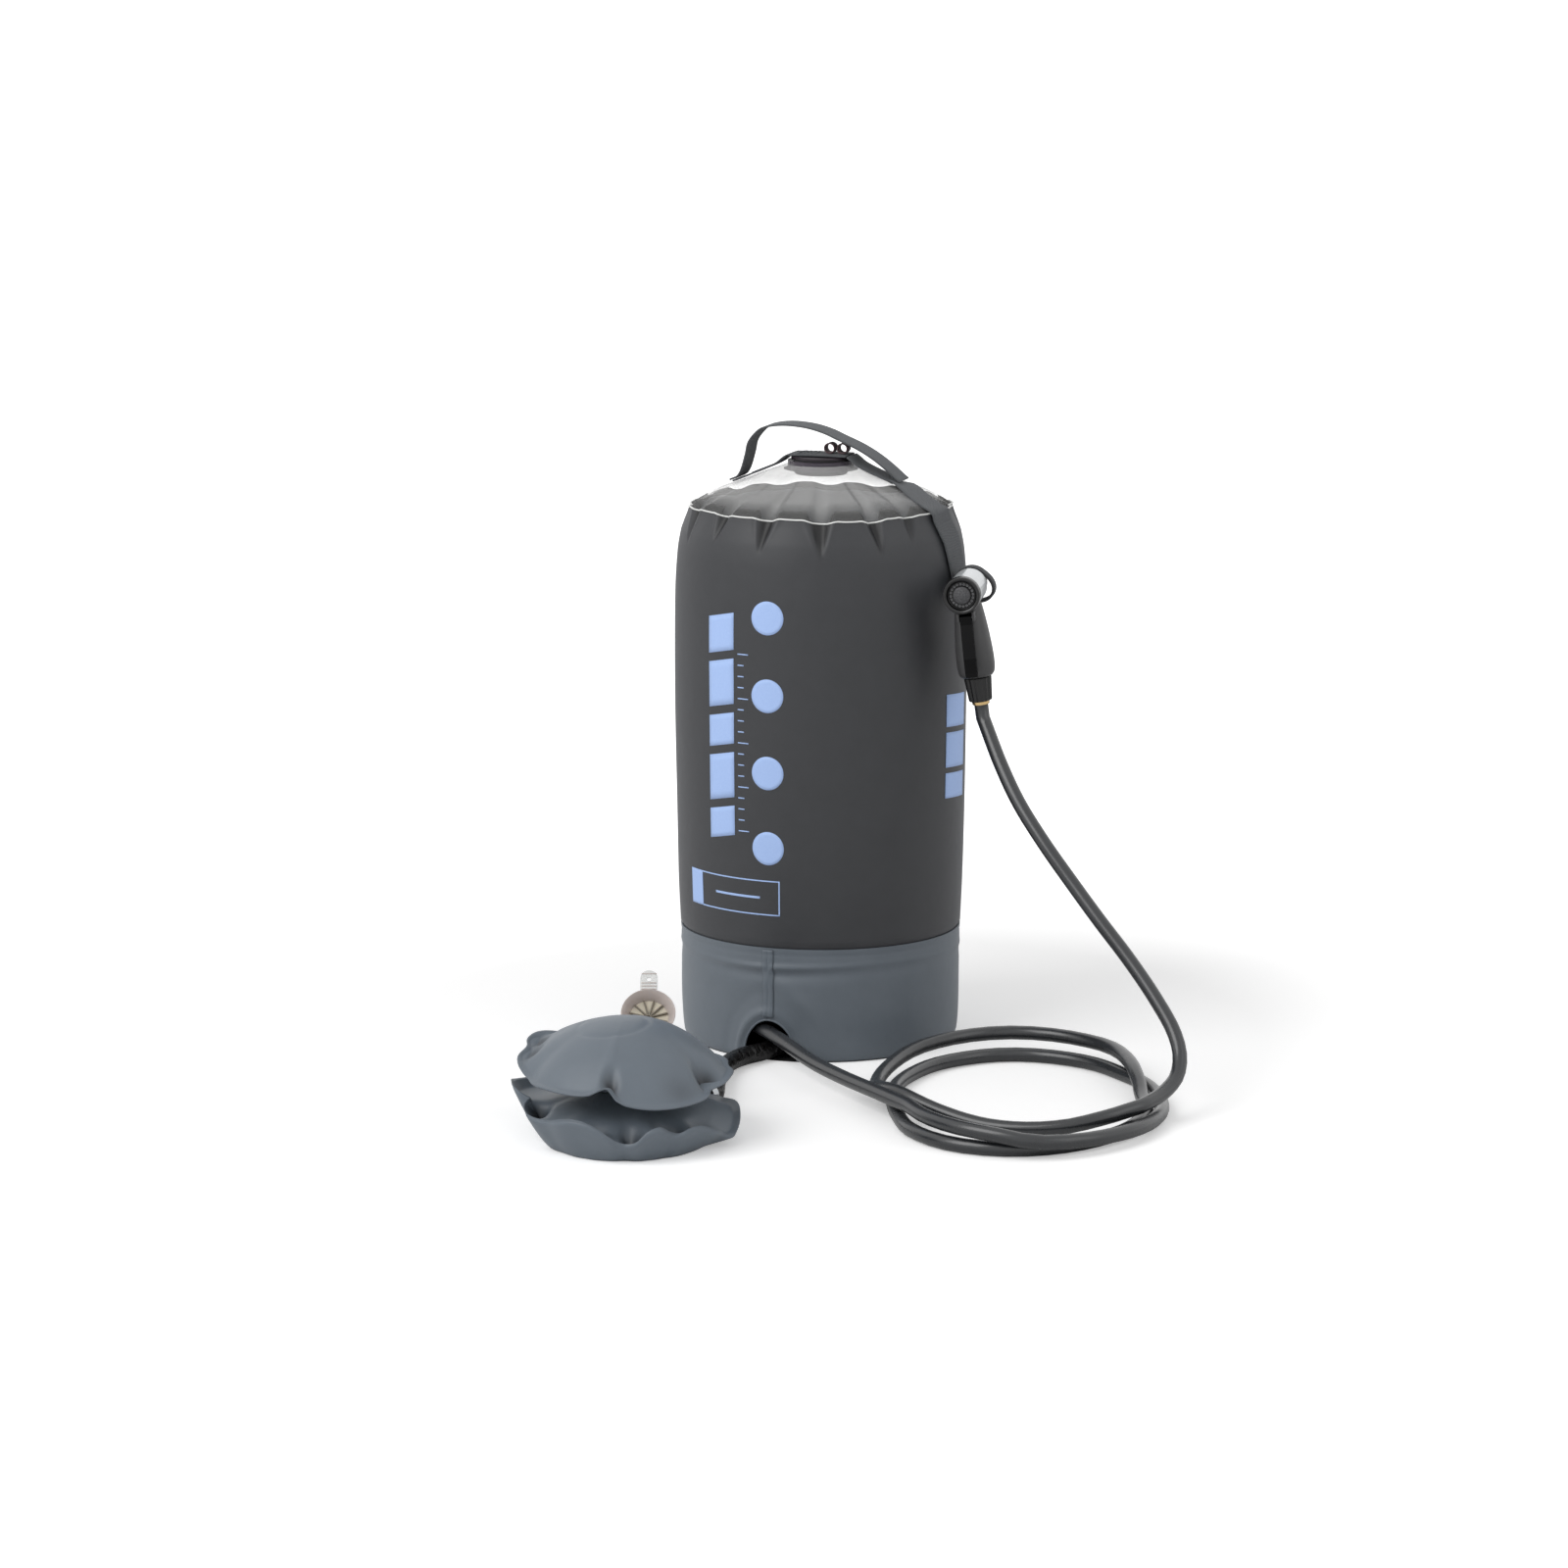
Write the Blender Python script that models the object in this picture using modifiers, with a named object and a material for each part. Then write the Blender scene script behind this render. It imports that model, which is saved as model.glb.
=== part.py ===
"""Portable pressure shower: a soft water tank with a hand shower and a foot pump.

Metres, +Z up. Every position is measured from the tank's axis on the ground: X to the right,
Y away from the side with the hose arch. The whole assembly hangs on one empty, which moves
its box's bottom centre to the world origin.
"""

import math

import bmesh
import bpy
from mathutils import Euler, Vector

# Assembly
TANK_AXIS = (0.0405, 0.1362)
GAP = 0.0003
TURN_SIDES = 40
PORT_SIDES = 32

# Tank: outer outlines as (radius, height), top to bottom
FABRIC = 0.0010
FILM = 0.0008
WALL_OUTLINE = (
    (0.0928, 0.3814), (0.0942, 0.3778), (0.0968, 0.3712), (0.0992, 0.3642), (0.1016, 0.3500),
    (0.1034, 0.3200), (0.1035, 0.2500), (0.1027, 0.1750), (0.1016, 0.1150), (0.1001, 0.0828),
)
DOME_OUTLINE = (
    (0.0400, 0.4058), (0.0560, 0.3990), (0.0680, 0.3945), (0.0800, 0.3885), (0.0880, 0.3845),
    (0.0926, 0.3829),
)
PORT_EDGE_HEIGHT = 0.4115
WELD_RADII = (0.0914, 0.0934)
WELD_HEIGHTS = (0.3817, 0.3826)
SKIRT_OUTLINE = (
    (0.1000, 0.0818), (0.0995, 0.0525), (0.0990, 0.0240), (0.0978, 0.0050), (0.0960, 0.0013),
    (0.0935, 0.0),
)
SKIRT_WALL = 0.0012
SKIRT_HEM = 0.0915
FLOOR_HEIGHT = 0.0365
FLOOR_THICKNESS = 0.0020
FLOOR_RIM = 0.0095

# Hose arch in the skirt
ARCH_AZIMUTH = math.radians(-21.5)
ARCH_WIDTH = 0.0410
ARCH_HEIGHT = 0.0300
SEAM_STRIP = (0.0070, 0.0008, 0.0360)

# Fill port and plug
PORT_BORE = 0.0195
PORT_RADIUS = 0.0235
PORT_TOP = 0.4140
PORT_BOTTOM = 0.4076
PORT_BRIM = 0.0262
SEAL_THICKNESS = 0.0007
PLUG_PLATE_RADIUS = 0.0212
PLUG_PLATE_THICKNESS = 0.0015
PLUG_NECK_RADIUS = 0.0125
PLUG_FOOT_RADIUS = 0.0188
PLUG_FOOT_BOTTOM = 0.0112
PLUG_FOOT_THICKNESS = 0.0030

# Webbing, in the plane of the straps
STRAP_TURN = math.radians(-16.0)
WEBBING_WIDTH = 0.0250
WEBBING = 0.0013
PLUG_STRAP_HALF = 0.0212
BASE_STRAP = (
    (0.0220, 0.4175), (0.0247, 0.4158), (0.0290, 0.4122), (0.0350, 0.4090), (0.0400, 0.4068),
    (0.0480, 0.4036), (0.0560, 0.4002), (0.0618, 0.3981),
)
HANDLE_LEFT_END = (
    (-0.0640, 0.3989), (-0.0610, 0.4000), (-0.0585, 0.4012), (-0.0562, 0.4045), (-0.0546, 0.4085),
    (-0.0531, 0.4137),
)
HANDLE_ARCH = (
    (-0.0530, 0.4140), (-0.0519, 0.4183), (-0.0503, 0.4254), (-0.0451, 0.4324), (-0.0404, 0.4360),
    (-0.0268, 0.4387), (-0.0088, 0.4377), (0.0050, 0.4342), (0.0142, 0.4303), (0.0293, 0.4237),
    (0.0350, 0.4205),
)
HANDLE_RIGHT_END = (
    (0.0353, 0.4203), (0.0408, 0.4170), (0.0495, 0.4106), (0.0560, 0.4052), (0.0603, 0.4016),
    (0.0640, 0.3995), (0.0668, 0.3983),
)
HANDLE_AXIS_HEIGHT = 0.4000
SIDE_STRAP = (
    (0.0655, -4.0, 0.3967), (0.0712, -8.5, 0.3945), (0.0800, -12.0, 0.3899), (0.0880, -13.0, 0.3859),
    (0.0926, -13.0, 0.3846), (0.0951, -13.0, 0.3827), (0.0960, -12.5, 0.3783),
    (0.0986, -11.5, 0.3712), (0.1008, -10.0, 0.3642), (0.1030, -8.0, 0.3500),
    (0.1038, -6.0, 0.3380), (0.1042, -6.0, 0.3240),
)
PULL_LOOPS = (0.0072, 0.0165)
PULL_LOOP_RADII = (0.0036, 0.0034)
PULL_LOOP_WIDTH = 0.0090
PULL_LOOP_THICKNESS = 0.0009

# Fittings under the tank
WATER_PORT = (-0.0735, -0.0237)
WATER_HEADING = math.radians(-60.8)
AIR_PORT = (0.0160, -0.0340)
AIR_HEADING = math.radians(-135.0)
STEM_RADIUS = 0.0055
STEM_RISE = 0.0090
STEM_FLANGE = 0.0090
FITTING_NUT = 0.0100
NUT_HEIGHT = 0.0045
ELBOW_RADIUS = 0.0040
ELBOW_BEND = 0.0070
ELBOW_START = 0.0045
WATER_ELBOW_DROP = 0.0150
AIR_ELBOW_DROP = 0.0265
ELBOW_REACH = 0.0200
CLAMP_WIDTH = 0.0050
CLAMP_WALL = 0.0011
CLAMP_SETBACK = 0.0060
DUCKBILL_LENGTH = 0.0122
DUCKBILL_RADIUS = 0.0052

# Hand shower, in its own frame: face centre at the origin, Y back along the barrel, Z up
HANDSET_FACE = (0.0966, -0.1000, 0.3317)
HANDSET_TURN = math.radians(-10.6)
HANDSET_PITCH = math.radians(2.3)
HANDSET_ROLL = math.radians(-7.5)
BARREL_RADIUS = 0.01225
BARREL_WALL = 0.0014
BEZEL_RADIUS = 0.0129
BEZEL_LENGTH = 0.0062
BARREL_LENGTH = 0.0325
REAR_CAP_RADIUS = 0.0105
REAR_CAP_LENGTH = 0.0145
NOZZLES = 20
NOZZLE_CIRCLE = 0.0078
NOZZLE_RADIUS = 0.0005
GRIP_AXIS = 0.0220
GRIP_SECTIONS = (
    (-0.0085, 0.0090, 0.0092), (-0.0160, 0.0101, 0.0112), (-0.0260, 0.0113, 0.0130),
    (-0.0380, 0.0124, 0.0142), (-0.0500, 0.0130, 0.0142), (-0.0565, 0.0126, 0.0132),
    (-0.0605, 0.0108, 0.0108),
)
GRIP_BORE = 0.0065
NUT_LENGTH = 0.0176
NUT_RADII = (0.0098, 0.0083)
NUT_RIBS = 16
FERRULE_LENGTH = 0.0020
TAIL_RADIUS = 0.0040
TRIGGER_PIVOT = (0.0075, -0.0165)
TRIGGER_WIDTH = 0.0084
TRIGGER_OUTLINE = (
    (-0.0028, 0.0008), (-0.0034, -0.0050), (-0.0062, -0.0160), (-0.0082, -0.0280),
    (-0.0090, -0.0380), (-0.0082, -0.0412), (-0.0062, -0.0412), (-0.0054, -0.0360),
    (-0.0042, -0.0240), (-0.0018, -0.0120), (0.0012, -0.0032), (0.0026, 0.0008), (0.0, 0.0027),
)
PIN_RADIUS = 0.0012
PLUNGER_HEIGHT = -0.0360
PLUNGER_RADIUS = 0.0016
PLUNGER_DISC = (0.0030, 0.0012)
PLUNGER_TIP = 0.0049
PLUNGER_BACK = 0.0240
SPRING_TURNS = 3
SPRING_RADIUS = 0.0020
SPRING_WIRE = 0.0005
SPRING_LENGTH = 0.0030
SLING_CENTRE = 0.0470
SLING_WIDTH = 0.0100
SLING_RADIUS = 0.0116
SLING_REACH = 0.0048
SLING_SAG = math.radians(28.0)

# Hoses
HOSE_RADIUS = 0.0050
AIR_HOSE_RADIUS = 0.0065
CORD_STEP = 0.0230
COIL_CENTRE = (0.1350, -0.2150)
COIL_POINTS_PER_TURN = 24
COIL_STATIONS = (
    (-44, 0.1050, 0.0168), (-20, 0.1300, 0.0166), (-9, 0.1385, 0.0158), (3, 0.1430, 0.0122),
    (30, 0.1250, 0.0095), (60, 0.1045, 0.0070), (90, 0.0945, 0.0056), (130, 0.0995, 0.0052),
    (155, 0.1150, 0.0052), (180, 0.1240, 0.0052), (203, 0.1140, 0.0052), (228, 0.0975, 0.0052),
    (252, 0.0885, 0.0052), (275, 0.0860, 0.0052), (300, 0.0955, 0.0052), (320, 0.1145, 0.0052),
    (340, 0.1310, 0.0052), (360, 0.1330, 0.0052), (390, 0.1130, 0.0052), (420, 0.0930, 0.0052),
    (450, 0.0830, 0.0062), (462, 0.0840, 0.0104), (474, 0.0880, 0.0146), (490, 0.1000, 0.0168),
    (512, 0.1250, 0.0168), (540, 0.1430, 0.0165), (566, 0.1300, 0.0150), (592, 0.1110, 0.0105),
    (615, 0.1005, 0.0078), (632, 0.0950, 0.0134), (650, 0.0880, 0.0168), (672, 0.0790, 0.0110),
    (700, 0.0775, 0.0056), (722, 0.0835, 0.0056), (738, 0.0915, 0.0085), (750, 0.0970, 0.0125),
    (763, 0.1010, 0.0160),
)
OUTLET_ROUTE = (
    (-0.0520, -0.0620, 0.0215), (-0.0400, -0.0837, 0.0214), (-0.0253, -0.1100, 0.0183),
    (-0.0047, -0.1553, 0.0150), (0.0153, -0.1961, 0.0148), (0.0375, -0.2400, 0.0160),
)
RISER_ROUTE = (
    (0.2290, -0.2590, 0.0205), (0.2390, -0.2420, 0.0275), (0.2418, -0.2300, 0.0385),
    (0.2385, -0.2190, 0.0520), (0.2265, -0.2030, 0.0720), (0.2094, -0.1850, 0.0950),
    (0.1902, -0.1680, 0.1181), (0.1715, -0.1510, 0.1416), (0.1532, -0.1350, 0.1656),
    (0.1369, -0.1180, 0.1897), (0.1250, -0.1010, 0.2130),
)
AIR_ROUTE = (
    (-0.0130, -0.0628, 0.0084), (-0.0290, -0.0788, 0.0070), (-0.0407, -0.0905, 0.0068),
    (-0.0561, -0.1080, 0.0070), (-0.0655, -0.1330, 0.0075), (-0.0690, -0.1650, 0.0090),
    (-0.0705, -0.1950, 0.0115),
)

# Foot pump, in its own frame
PUMP_CENTRE = (-0.1280, -0.3023)
PILLOW_SIDES = 38
PILLOW_WALL = 0.0016
PILLOW_FLANGE = 0.0050
RUFFLE_FADE = 3.5
NECK_BORE = 0.0200
NECK_RADIUS = 0.0260
LOWER_RADIUS = 0.0755
LOWER_RIM = 0.0100
LOWER_CROWN = 0.0263
LOWER_REST = 0.90
LOWER_RUFFLE = (
    (-150, 0.0200), (-125, 0.0240), (-104, 0.0310), (-84, 0.0390), (-70, 0.0360), (-58, 0.0260),
    (-43, 0.0250), (-21, 0.0290), (-10, 0.0235), (1, 0.0155), (9, 0.0200), (19, 0.0250),
    (29, 0.0235), (42, 0.0230), (58, 0.0150), (72, 0.0080), (84, 0.0085), (96, 0.0120),
    (110, 0.0160), (150, 0.0120), (180, 0.0150),
)
LOWER_FOLDS = ((-68, 0.0060), (-40, 0.0030), (2, 0.0045), (33, 0.0030), (64, 0.0025), (118, 0.0030))
LOWER_FOAM = (
    (0, 0.0310), (0.0180, 0.0310), (0.0340, 0.0240), (0.0430, 0.0180), (0.0450, 0.0140),
    (0.0380, 0.0085), (0.0260, 0.0045), (0, 0.0024),
)
UPPER_BASE = 0.0018
UPPER_RADIUS = 0.0715
UPPER_RIM = 0.0475
UPPER_CROWN = 0.0315
UPPER_BELLY = 0.0060
UPPER_RUFFLE = (
    (-150, 0.0500), (-116, 0.0600), (-79, 0.0538), (-58, 0.0448), (-42, 0.0432), (-20, 0.0440),
    (-9, 0.0490), (2, 0.0385), (20, 0.0339), (44, 0.0352), (64, 0.0400), (86, 0.0425),
    (121, 0.0450), (150, 0.0440), (180, 0.0430),
)
UPPER_FOLDS = ((-112, 0.0035), (-60, 0.0040), (-9, 0.0045), (66, 0.0040), (140, 0.0030))
UPPER_FOAM = (
    (0, 0.0715), (0.0150, 0.0705), (0.0280, 0.0665), (0.0390, 0.0600), (0.0440, 0.0560),
    (0.0400, 0.0515), (0.0300, 0.0458), (0.0220, 0.0435), (0, 0.0435),
)
AIR_OUTLET_AZIMUTH = math.radians(140.0)
AIR_OUTLET_HEIGHT = 0.0130
AIR_OUTLET_GAP = 0.0005

# Intake valve on the back of the upper pillow, in the upper pillow's frame
VALVE_CENTRE = (0.0118, 0.0555, 0.0566)
VALVE_TILT = math.radians(-30.0)
SEAT_RADIUS = 0.0188
SEAT_BORE = 0.0130
SEAT_FLANGE = 0.0012
COLLAR_RADIUS = 0.0152
COLLAR_HEIGHT = 0.0033
GRID_SPOKES = 6
GRID_THICKNESS = 0.0014
VALVE_HOLE = 0.0118
FLAP_RADIUS = 0.0112
FLAP_THICKNESS = 0.0008
CAP_REACH = 0.0200
CAP_RADIUS = 0.0185
CAP_FLOOR_RADIUS = 0.0145
CAP_DEPTH = 0.0090
CAP_WALL = 0.0012
CAP_RIBS = 8
CAP_RIB_WIDTH = 0.0010
CAP_RIB_HEIGHT = 0.0022
CAP_OPEN_ANGLE = math.radians(102.9)
TAB_WIDTH = 0.0123
TAB_LENGTH = 0.0165
TAB_HEIGHTS = (-0.0014, -0.0026)
TAB_HOLE = 0.0017
TETHER_RADIUS = 0.0008
TETHER_LENGTH = 0.0080


def start_empty_scene():
    """Remove every object and make the two collections."""
    for item in list(bpy.data.objects):
        bpy.data.objects.remove(item)
    made = []
    for title in ("pressure_shower", "cutters"):
        collection = bpy.data.collections.new(title)
        bpy.context.scene.collection.children.link(collection)
        made.append(collection)
    return made


PARTS, CUTTERS = start_empty_scene()


def linear(channel):
    """Turn an sRGB channel from 0 to 255 into a linear one."""
    value = channel / 255
    return value / 12.92 if value <= 0.04045 else ((value + 0.055) / 1.055) ** 2.4


def finish(item, colour, roughness=0.6, metallic=0.0, alpha=1.0):
    """Give an object its own Principled material."""
    material = bpy.data.materials.new(item.name + "_finish")
    material.use_nodes = True
    shader = material.node_tree.nodes["Principled BSDF"]
    shader.inputs["Base Color"].default_value = [linear(c) for c in colour] + [1.0]
    shader.inputs["Roughness"].default_value = roughness
    shader.inputs["Metallic"].default_value = metallic
    shader.inputs["Alpha"].default_value = alpha
    item.data.materials.append(material)


# Colours in the photograph, as sRGB
BLACK_FABRIC = (66, 67, 70)
GREY_FABRIC = (95, 101, 109)
PUMP_FABRIC = (110, 116, 124)
WEBBING_GREY = (88, 92, 93)
CLEAR_FILM = (226, 228, 228)
WHITE_WELD = (238, 238, 234)
HOSE_BLACK = (58, 60, 64)
AIR_HOSE_BLACK = (34, 34, 36)
PLASTIC_BLACK = (42, 42, 43)
GRIP_GREY = (75, 75, 75)
SATIN_SILVER = (214, 218, 222)
BRASS = (196, 160, 96)
TRANSLUCENT = (186, 180, 172)
FOAM_YELLOW = (214, 196, 150)
FLAP_BROWN = (120, 60, 60)
TAPE_PLUM = (108, 78, 84)
STEEL = (170, 172, 174)


def empty(name, parent=None, location=(0, 0, 0), rotation=(0, 0, 0)):
    """A parent empty at a joint or a sub-assembly's frame."""
    item = bpy.data.objects.new(name, None)
    PARTS.objects.link(item)
    item.parent = parent
    item.location = location
    item.rotation_euler = rotation
    item.empty_display_size = 0.01
    return item


def place(item, parent, location=(0, 0, 0), rotation=(0, 0, 0), collection=None):
    """Link an object and set its parent and place."""
    (collection or PARTS).objects.link(item)
    item.parent = parent
    item.location = location
    item.rotation_euler = rotation
    return item


def mesh_object(name, bm, parent, colour=None, location=(0, 0, 0), rotation=(0, 0, 0), **look):
    """Make an object of a bmesh; without a colour it is a cutter."""
    mesh = bpy.data.meshes.new(name)
    bmesh.ops.recalc_face_normals(bm, faces=bm.faces)
    bm.to_mesh(mesh)
    bm.free()
    item = bpy.data.objects.new(name, mesh)
    if colour is None:
        place(item, parent, location, rotation, CUTTERS)
        item.hide_render = True
        item.display_type = 'WIRE'
        return item
    mesh.shade_smooth()
    mesh.set_sharp_from_angle(angle=math.radians(35))
    place(item, parent, location, rotation)
    finish(item, colour, **look)
    return item


def turned(name, profile, parent, colour, closed=True, sides=TURN_SIDES, location=(0, 0, 0),
           rotation=(0, 0, 0), **look):
    """Turn a profile of (radius, height) round Z; its outer side runs from top to bottom."""
    count = len(profile)
    edges = [(i, i + 1) for i in range(count - 1)]
    if closed:
        edges.append((count - 1, 0))
    mesh = bpy.data.meshes.new(name)
    mesh.from_pydata([(radius, 0, height) for radius, height in profile], edges, [])
    item = bpy.data.objects.new(name, mesh)
    place(item, parent, location, rotation)
    screw = item.modifiers.new("Turn", 'SCREW')
    screw.axis = 'Z'
    screw.angle = math.tau
    screw.steps = sides
    screw.render_steps = sides
    screw.use_merge_vertices = True
    screw.merge_threshold = 0.00001
    screw.use_smooth_shade = False
    finish(item, colour, **look)
    return item


def ring_profile(inner, outer, bottom, top):
    """The square profile of a ring."""
    return ((outer, top), (outer, bottom), (inner, bottom), (inner, top))


def rod_profile(radius, bottom, top):
    """The profile of a solid rod, open on its axis."""
    return ((0, top), (radius, top), (radius, bottom), (0, bottom))


def inset(outline, distance):
    """Move an outline that runs down its outer side inward by a wall."""
    points = [Vector(point) for point in outline]
    moved = []
    for i, point in enumerate(points):
        before = points[max(i - 1, 0)]
        after = points[min(i + 1, len(points) - 1)]
        along = (after - before).normalized()
        moved.append(point + Vector((along.y, -along.x)) * distance)
    return [tuple(point) for point in moved]


def shell_profile(outline, wall):
    """Close an outline into the profile of a shell with an even wall."""
    return list(outline) + inset(outline, wall)[::-1]


def box(name, size, parent, colour=None, location=(0, 0, 0), rotation=(0, 0, 0), **look):
    """A box of the given size about its own centre."""
    bm = bmesh.new()
    bmesh.ops.create_cube(bm, size=1)
    bmesh.ops.scale(bm, vec=size, verts=bm.verts)
    return mesh_object(name, bm, parent, colour, location, rotation, **look)


def cylinder(name, radius, length, parent, colour=None, sides=24, location=(0, 0, 0),
             rotation=(0, 0, 0), **look):
    """A cylinder along its own Z, about its centre."""
    bm = bmesh.new()
    bmesh.ops.create_cone(bm, cap_ends=True, segments=sides, radius1=radius, radius2=radius,
                          depth=length)
    return mesh_object(name, bm, parent, colour, location, rotation, **look)


ALONG_X = (0, math.pi / 2, 0)
ALONG_Y = (math.pi / 2, 0, 0)


def boolean(item, other, operation='DIFFERENCE'):
    """Cut a hidden solid from an object, or join it on."""
    modifier = item.modifiers.new(other.name, 'BOOLEAN')
    modifier.operation = operation
    modifier.solver = 'EXACT'
    modifier.object = other


def loft(name, rings, parent, colour=None, location=(0, 0, 0), rotation=(0, 0, 0), **look):
    """A closed solid through rings with the same number of points."""
    bm = bmesh.new()
    loops = [[bm.verts.new(point) for point in ring] for ring in rings]
    count = len(loops[0])
    for upper, lower in zip(loops, loops[1:]):
        for i in range(count):
            j = (i + 1) % count
            bm.faces.new((upper[i], upper[j], lower[j], lower[i]))
    bm.faces.new(loops[0])
    bm.faces.new(loops[-1][::-1])
    return mesh_object(name, bm, parent, colour, location, rotation, **look)


def ribbon(name, path, across, width, thickness, parent, colour, loop=False, **look):
    """Webbing: a flat strip along a path, with its width along the across vectors."""
    bm = bmesh.new()
    rows = []
    for point, side in zip(path, across):
        half = Vector(side).normalized() * (width / 2)
        rows.append([bm.verts.new(Vector(point) - half), bm.verts.new(Vector(point) + half)])
    pairs = list(zip(rows, rows[1:]))
    if loop:
        pairs.append((rows[-1], rows[0]))
    for first, second in pairs:
        bm.faces.new((first[0], first[1], second[1], second[0]))
    item = mesh_object(name, bm, parent, colour, **look)
    solid = item.modifiers.new("Thickness", 'SOLIDIFY')
    solid.thickness = thickness
    solid.offset = 0.0
    solid.use_even_offset = True
    return item


def strap(name, path, parent, colour=WEBBING_GREY, width=WEBBING_WIDTH, thickness=WEBBING):
    """Webbing in the strap plane, from points of (distance, height)."""
    points = [(x, 0, z) for x, z in path]
    return ribbon(name, points, [(0, 1, 0)] * len(points), width, thickness, parent, colour,
                  roughness=0.9)


def smooth_curve(route, fine=24):
    """Points close together on a smooth curve through the route's points."""
    points = [Vector(point) for point in route]
    ends = [points[0] * 2 - points[1]] + points + [points[-1] * 2 - points[-2]]
    curve = []
    for p0, p1, p2, p3 in zip(ends, ends[1:], ends[2:], ends[3:]):
        t1 = (p1 - p0).length ** 0.5
        t2 = t1 + (p2 - p1).length ** 0.5
        t3 = t2 + (p3 - p2).length ** 0.5
        for k in range(fine):
            t = t1 + (t2 - t1) * k / fine
            a1 = p0.lerp(p1, t / t1)
            a2 = p1.lerp(p2, (t - t1) / (t2 - t1))
            a3 = p2.lerp(p3, (t - t2) / (t3 - t2))
            b1 = a1.lerp(a2, t / t2)
            b2 = a2.lerp(a3, (t - t1) / (t3 - t1))
            curve.append(b1.lerp(b2, (t - t1) / (t2 - t1)))
    curve.append(points[-1])
    return curve


def even_points(curve, step):
    """Points at even steps along a curve, both ends included."""
    lengths = [0.0]
    for a, b in zip(curve, curve[1:]):
        lengths.append(lengths[-1] + (b - a).length)
    count = max(2, round(lengths[-1] / step))
    picked = []
    index = 0
    for k in range(count + 1):
        target = lengths[-1] * k / count
        while index < len(curve) - 2 and lengths[index + 1] < target:
            index += 1
        span = lengths[index + 1] - lengths[index]
        picked.append(curve[index].lerp(curve[index + 1], (target - lengths[index]) / span))
    return picked


def tube(name, points, radius, parent, colour, resolution=2, **look):
    """A tube along points, as a curve with filled caps."""
    curve = bpy.data.curves.new(name, 'CURVE')
    curve.dimensions = '3D'
    spline = curve.splines.new('POLY')
    spline.points.add(len(points) - 1)
    for control, point in zip(spline.points, points):
        control.co = (*point, 1)
    curve.bevel_depth = radius
    curve.bevel_resolution = resolution
    curve.use_fill_caps = True
    item = bpy.data.objects.new(name, curve)
    place(item, parent)
    finish(item, colour, **look)
    return item


def cord(name, first, route, last, radius, parent, colour, resolution=2, **look):
    """A free hose: straight for one diameter at both ends and smooth through its route."""
    start, start_way = first
    end, end_way = last
    way_in = Vector(start_way).normalized() * radius * 2
    way_out = Vector(end_way).normalized() * radius * 2
    inner_start = Vector(start) + way_in
    inner_end = Vector(end) - way_out
    curve = smooth_curve([inner_start, *route, inner_end])
    points = [Vector(start)] + even_points(curve, CORD_STEP) + [Vector(end)]
    return tube(name, points, radius, parent, colour, resolution, **look)


def build_tank(root):
    """The soft tank: wall, clear top, white weld, floor panel and skirt."""
    tucked = SKIRT_OUTLINE[0][0] - SKIRT_WALL - GAP - 0.0009
    step = SKIRT_OUTLINE[0][1] + GAP
    wall = list(WALL_OUTLINE) + [(tucked, step), (tucked, FLOOR_HEIGHT)]
    lining = inset(wall, FABRIC)
    lining[-3] = (WALL_OUTLINE[-1][0] - FABRIC, WALL_OUTLINE[-1][1] + FABRIC)
    lining[-2] = (tucked - FABRIC, step + FABRIC)
    turned("tank_wall", wall + lining[::-1], root, BLACK_FABRIC, roughness=0.55)
    dome = [(PORT_RADIUS + GAP, PORT_EDGE_HEIGHT)] + list(DOME_OUTLINE)
    under = inset(dome, FILM)
    under[0] = (dome[0][0], under[0][1])
    under[-1] = (dome[-1][0] - 2 * FILM, dome[-1][1])
    turned("clear_top", dome + under[::-1], root, CLEAR_FILM, roughness=0.15, alpha=0.35)
    turned("top_weld", ring_profile(*WELD_RADII, *WELD_HEIGHTS), root, WHITE_WELD)
    inner = tucked - FABRIC - GAP
    top = FLOOR_HEIGHT + FLOOR_THICKNESS
    panel = turned("tank_floor", (
        (0, top), (inner - FABRIC - 0.0008, top), (inner - FABRIC, FLOOR_HEIGHT + FLOOR_RIM),
        (inner, FLOOR_HEIGHT + FLOOR_RIM), (inner, FLOOR_HEIGHT), (0, FLOOR_HEIGHT),
    ), root, BLACK_FABRIC, closed=False, roughness=0.6)
    for tag, port in (("water", WATER_PORT), ("air", AIR_PORT)):
        hole = cylinder(tag + "_floor_hole", STEM_RADIUS + GAP, 0.02, root,
                        location=(*port, FLOOR_HEIGHT))
        boolean(panel, hole)
    build_skirt(root)


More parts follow.
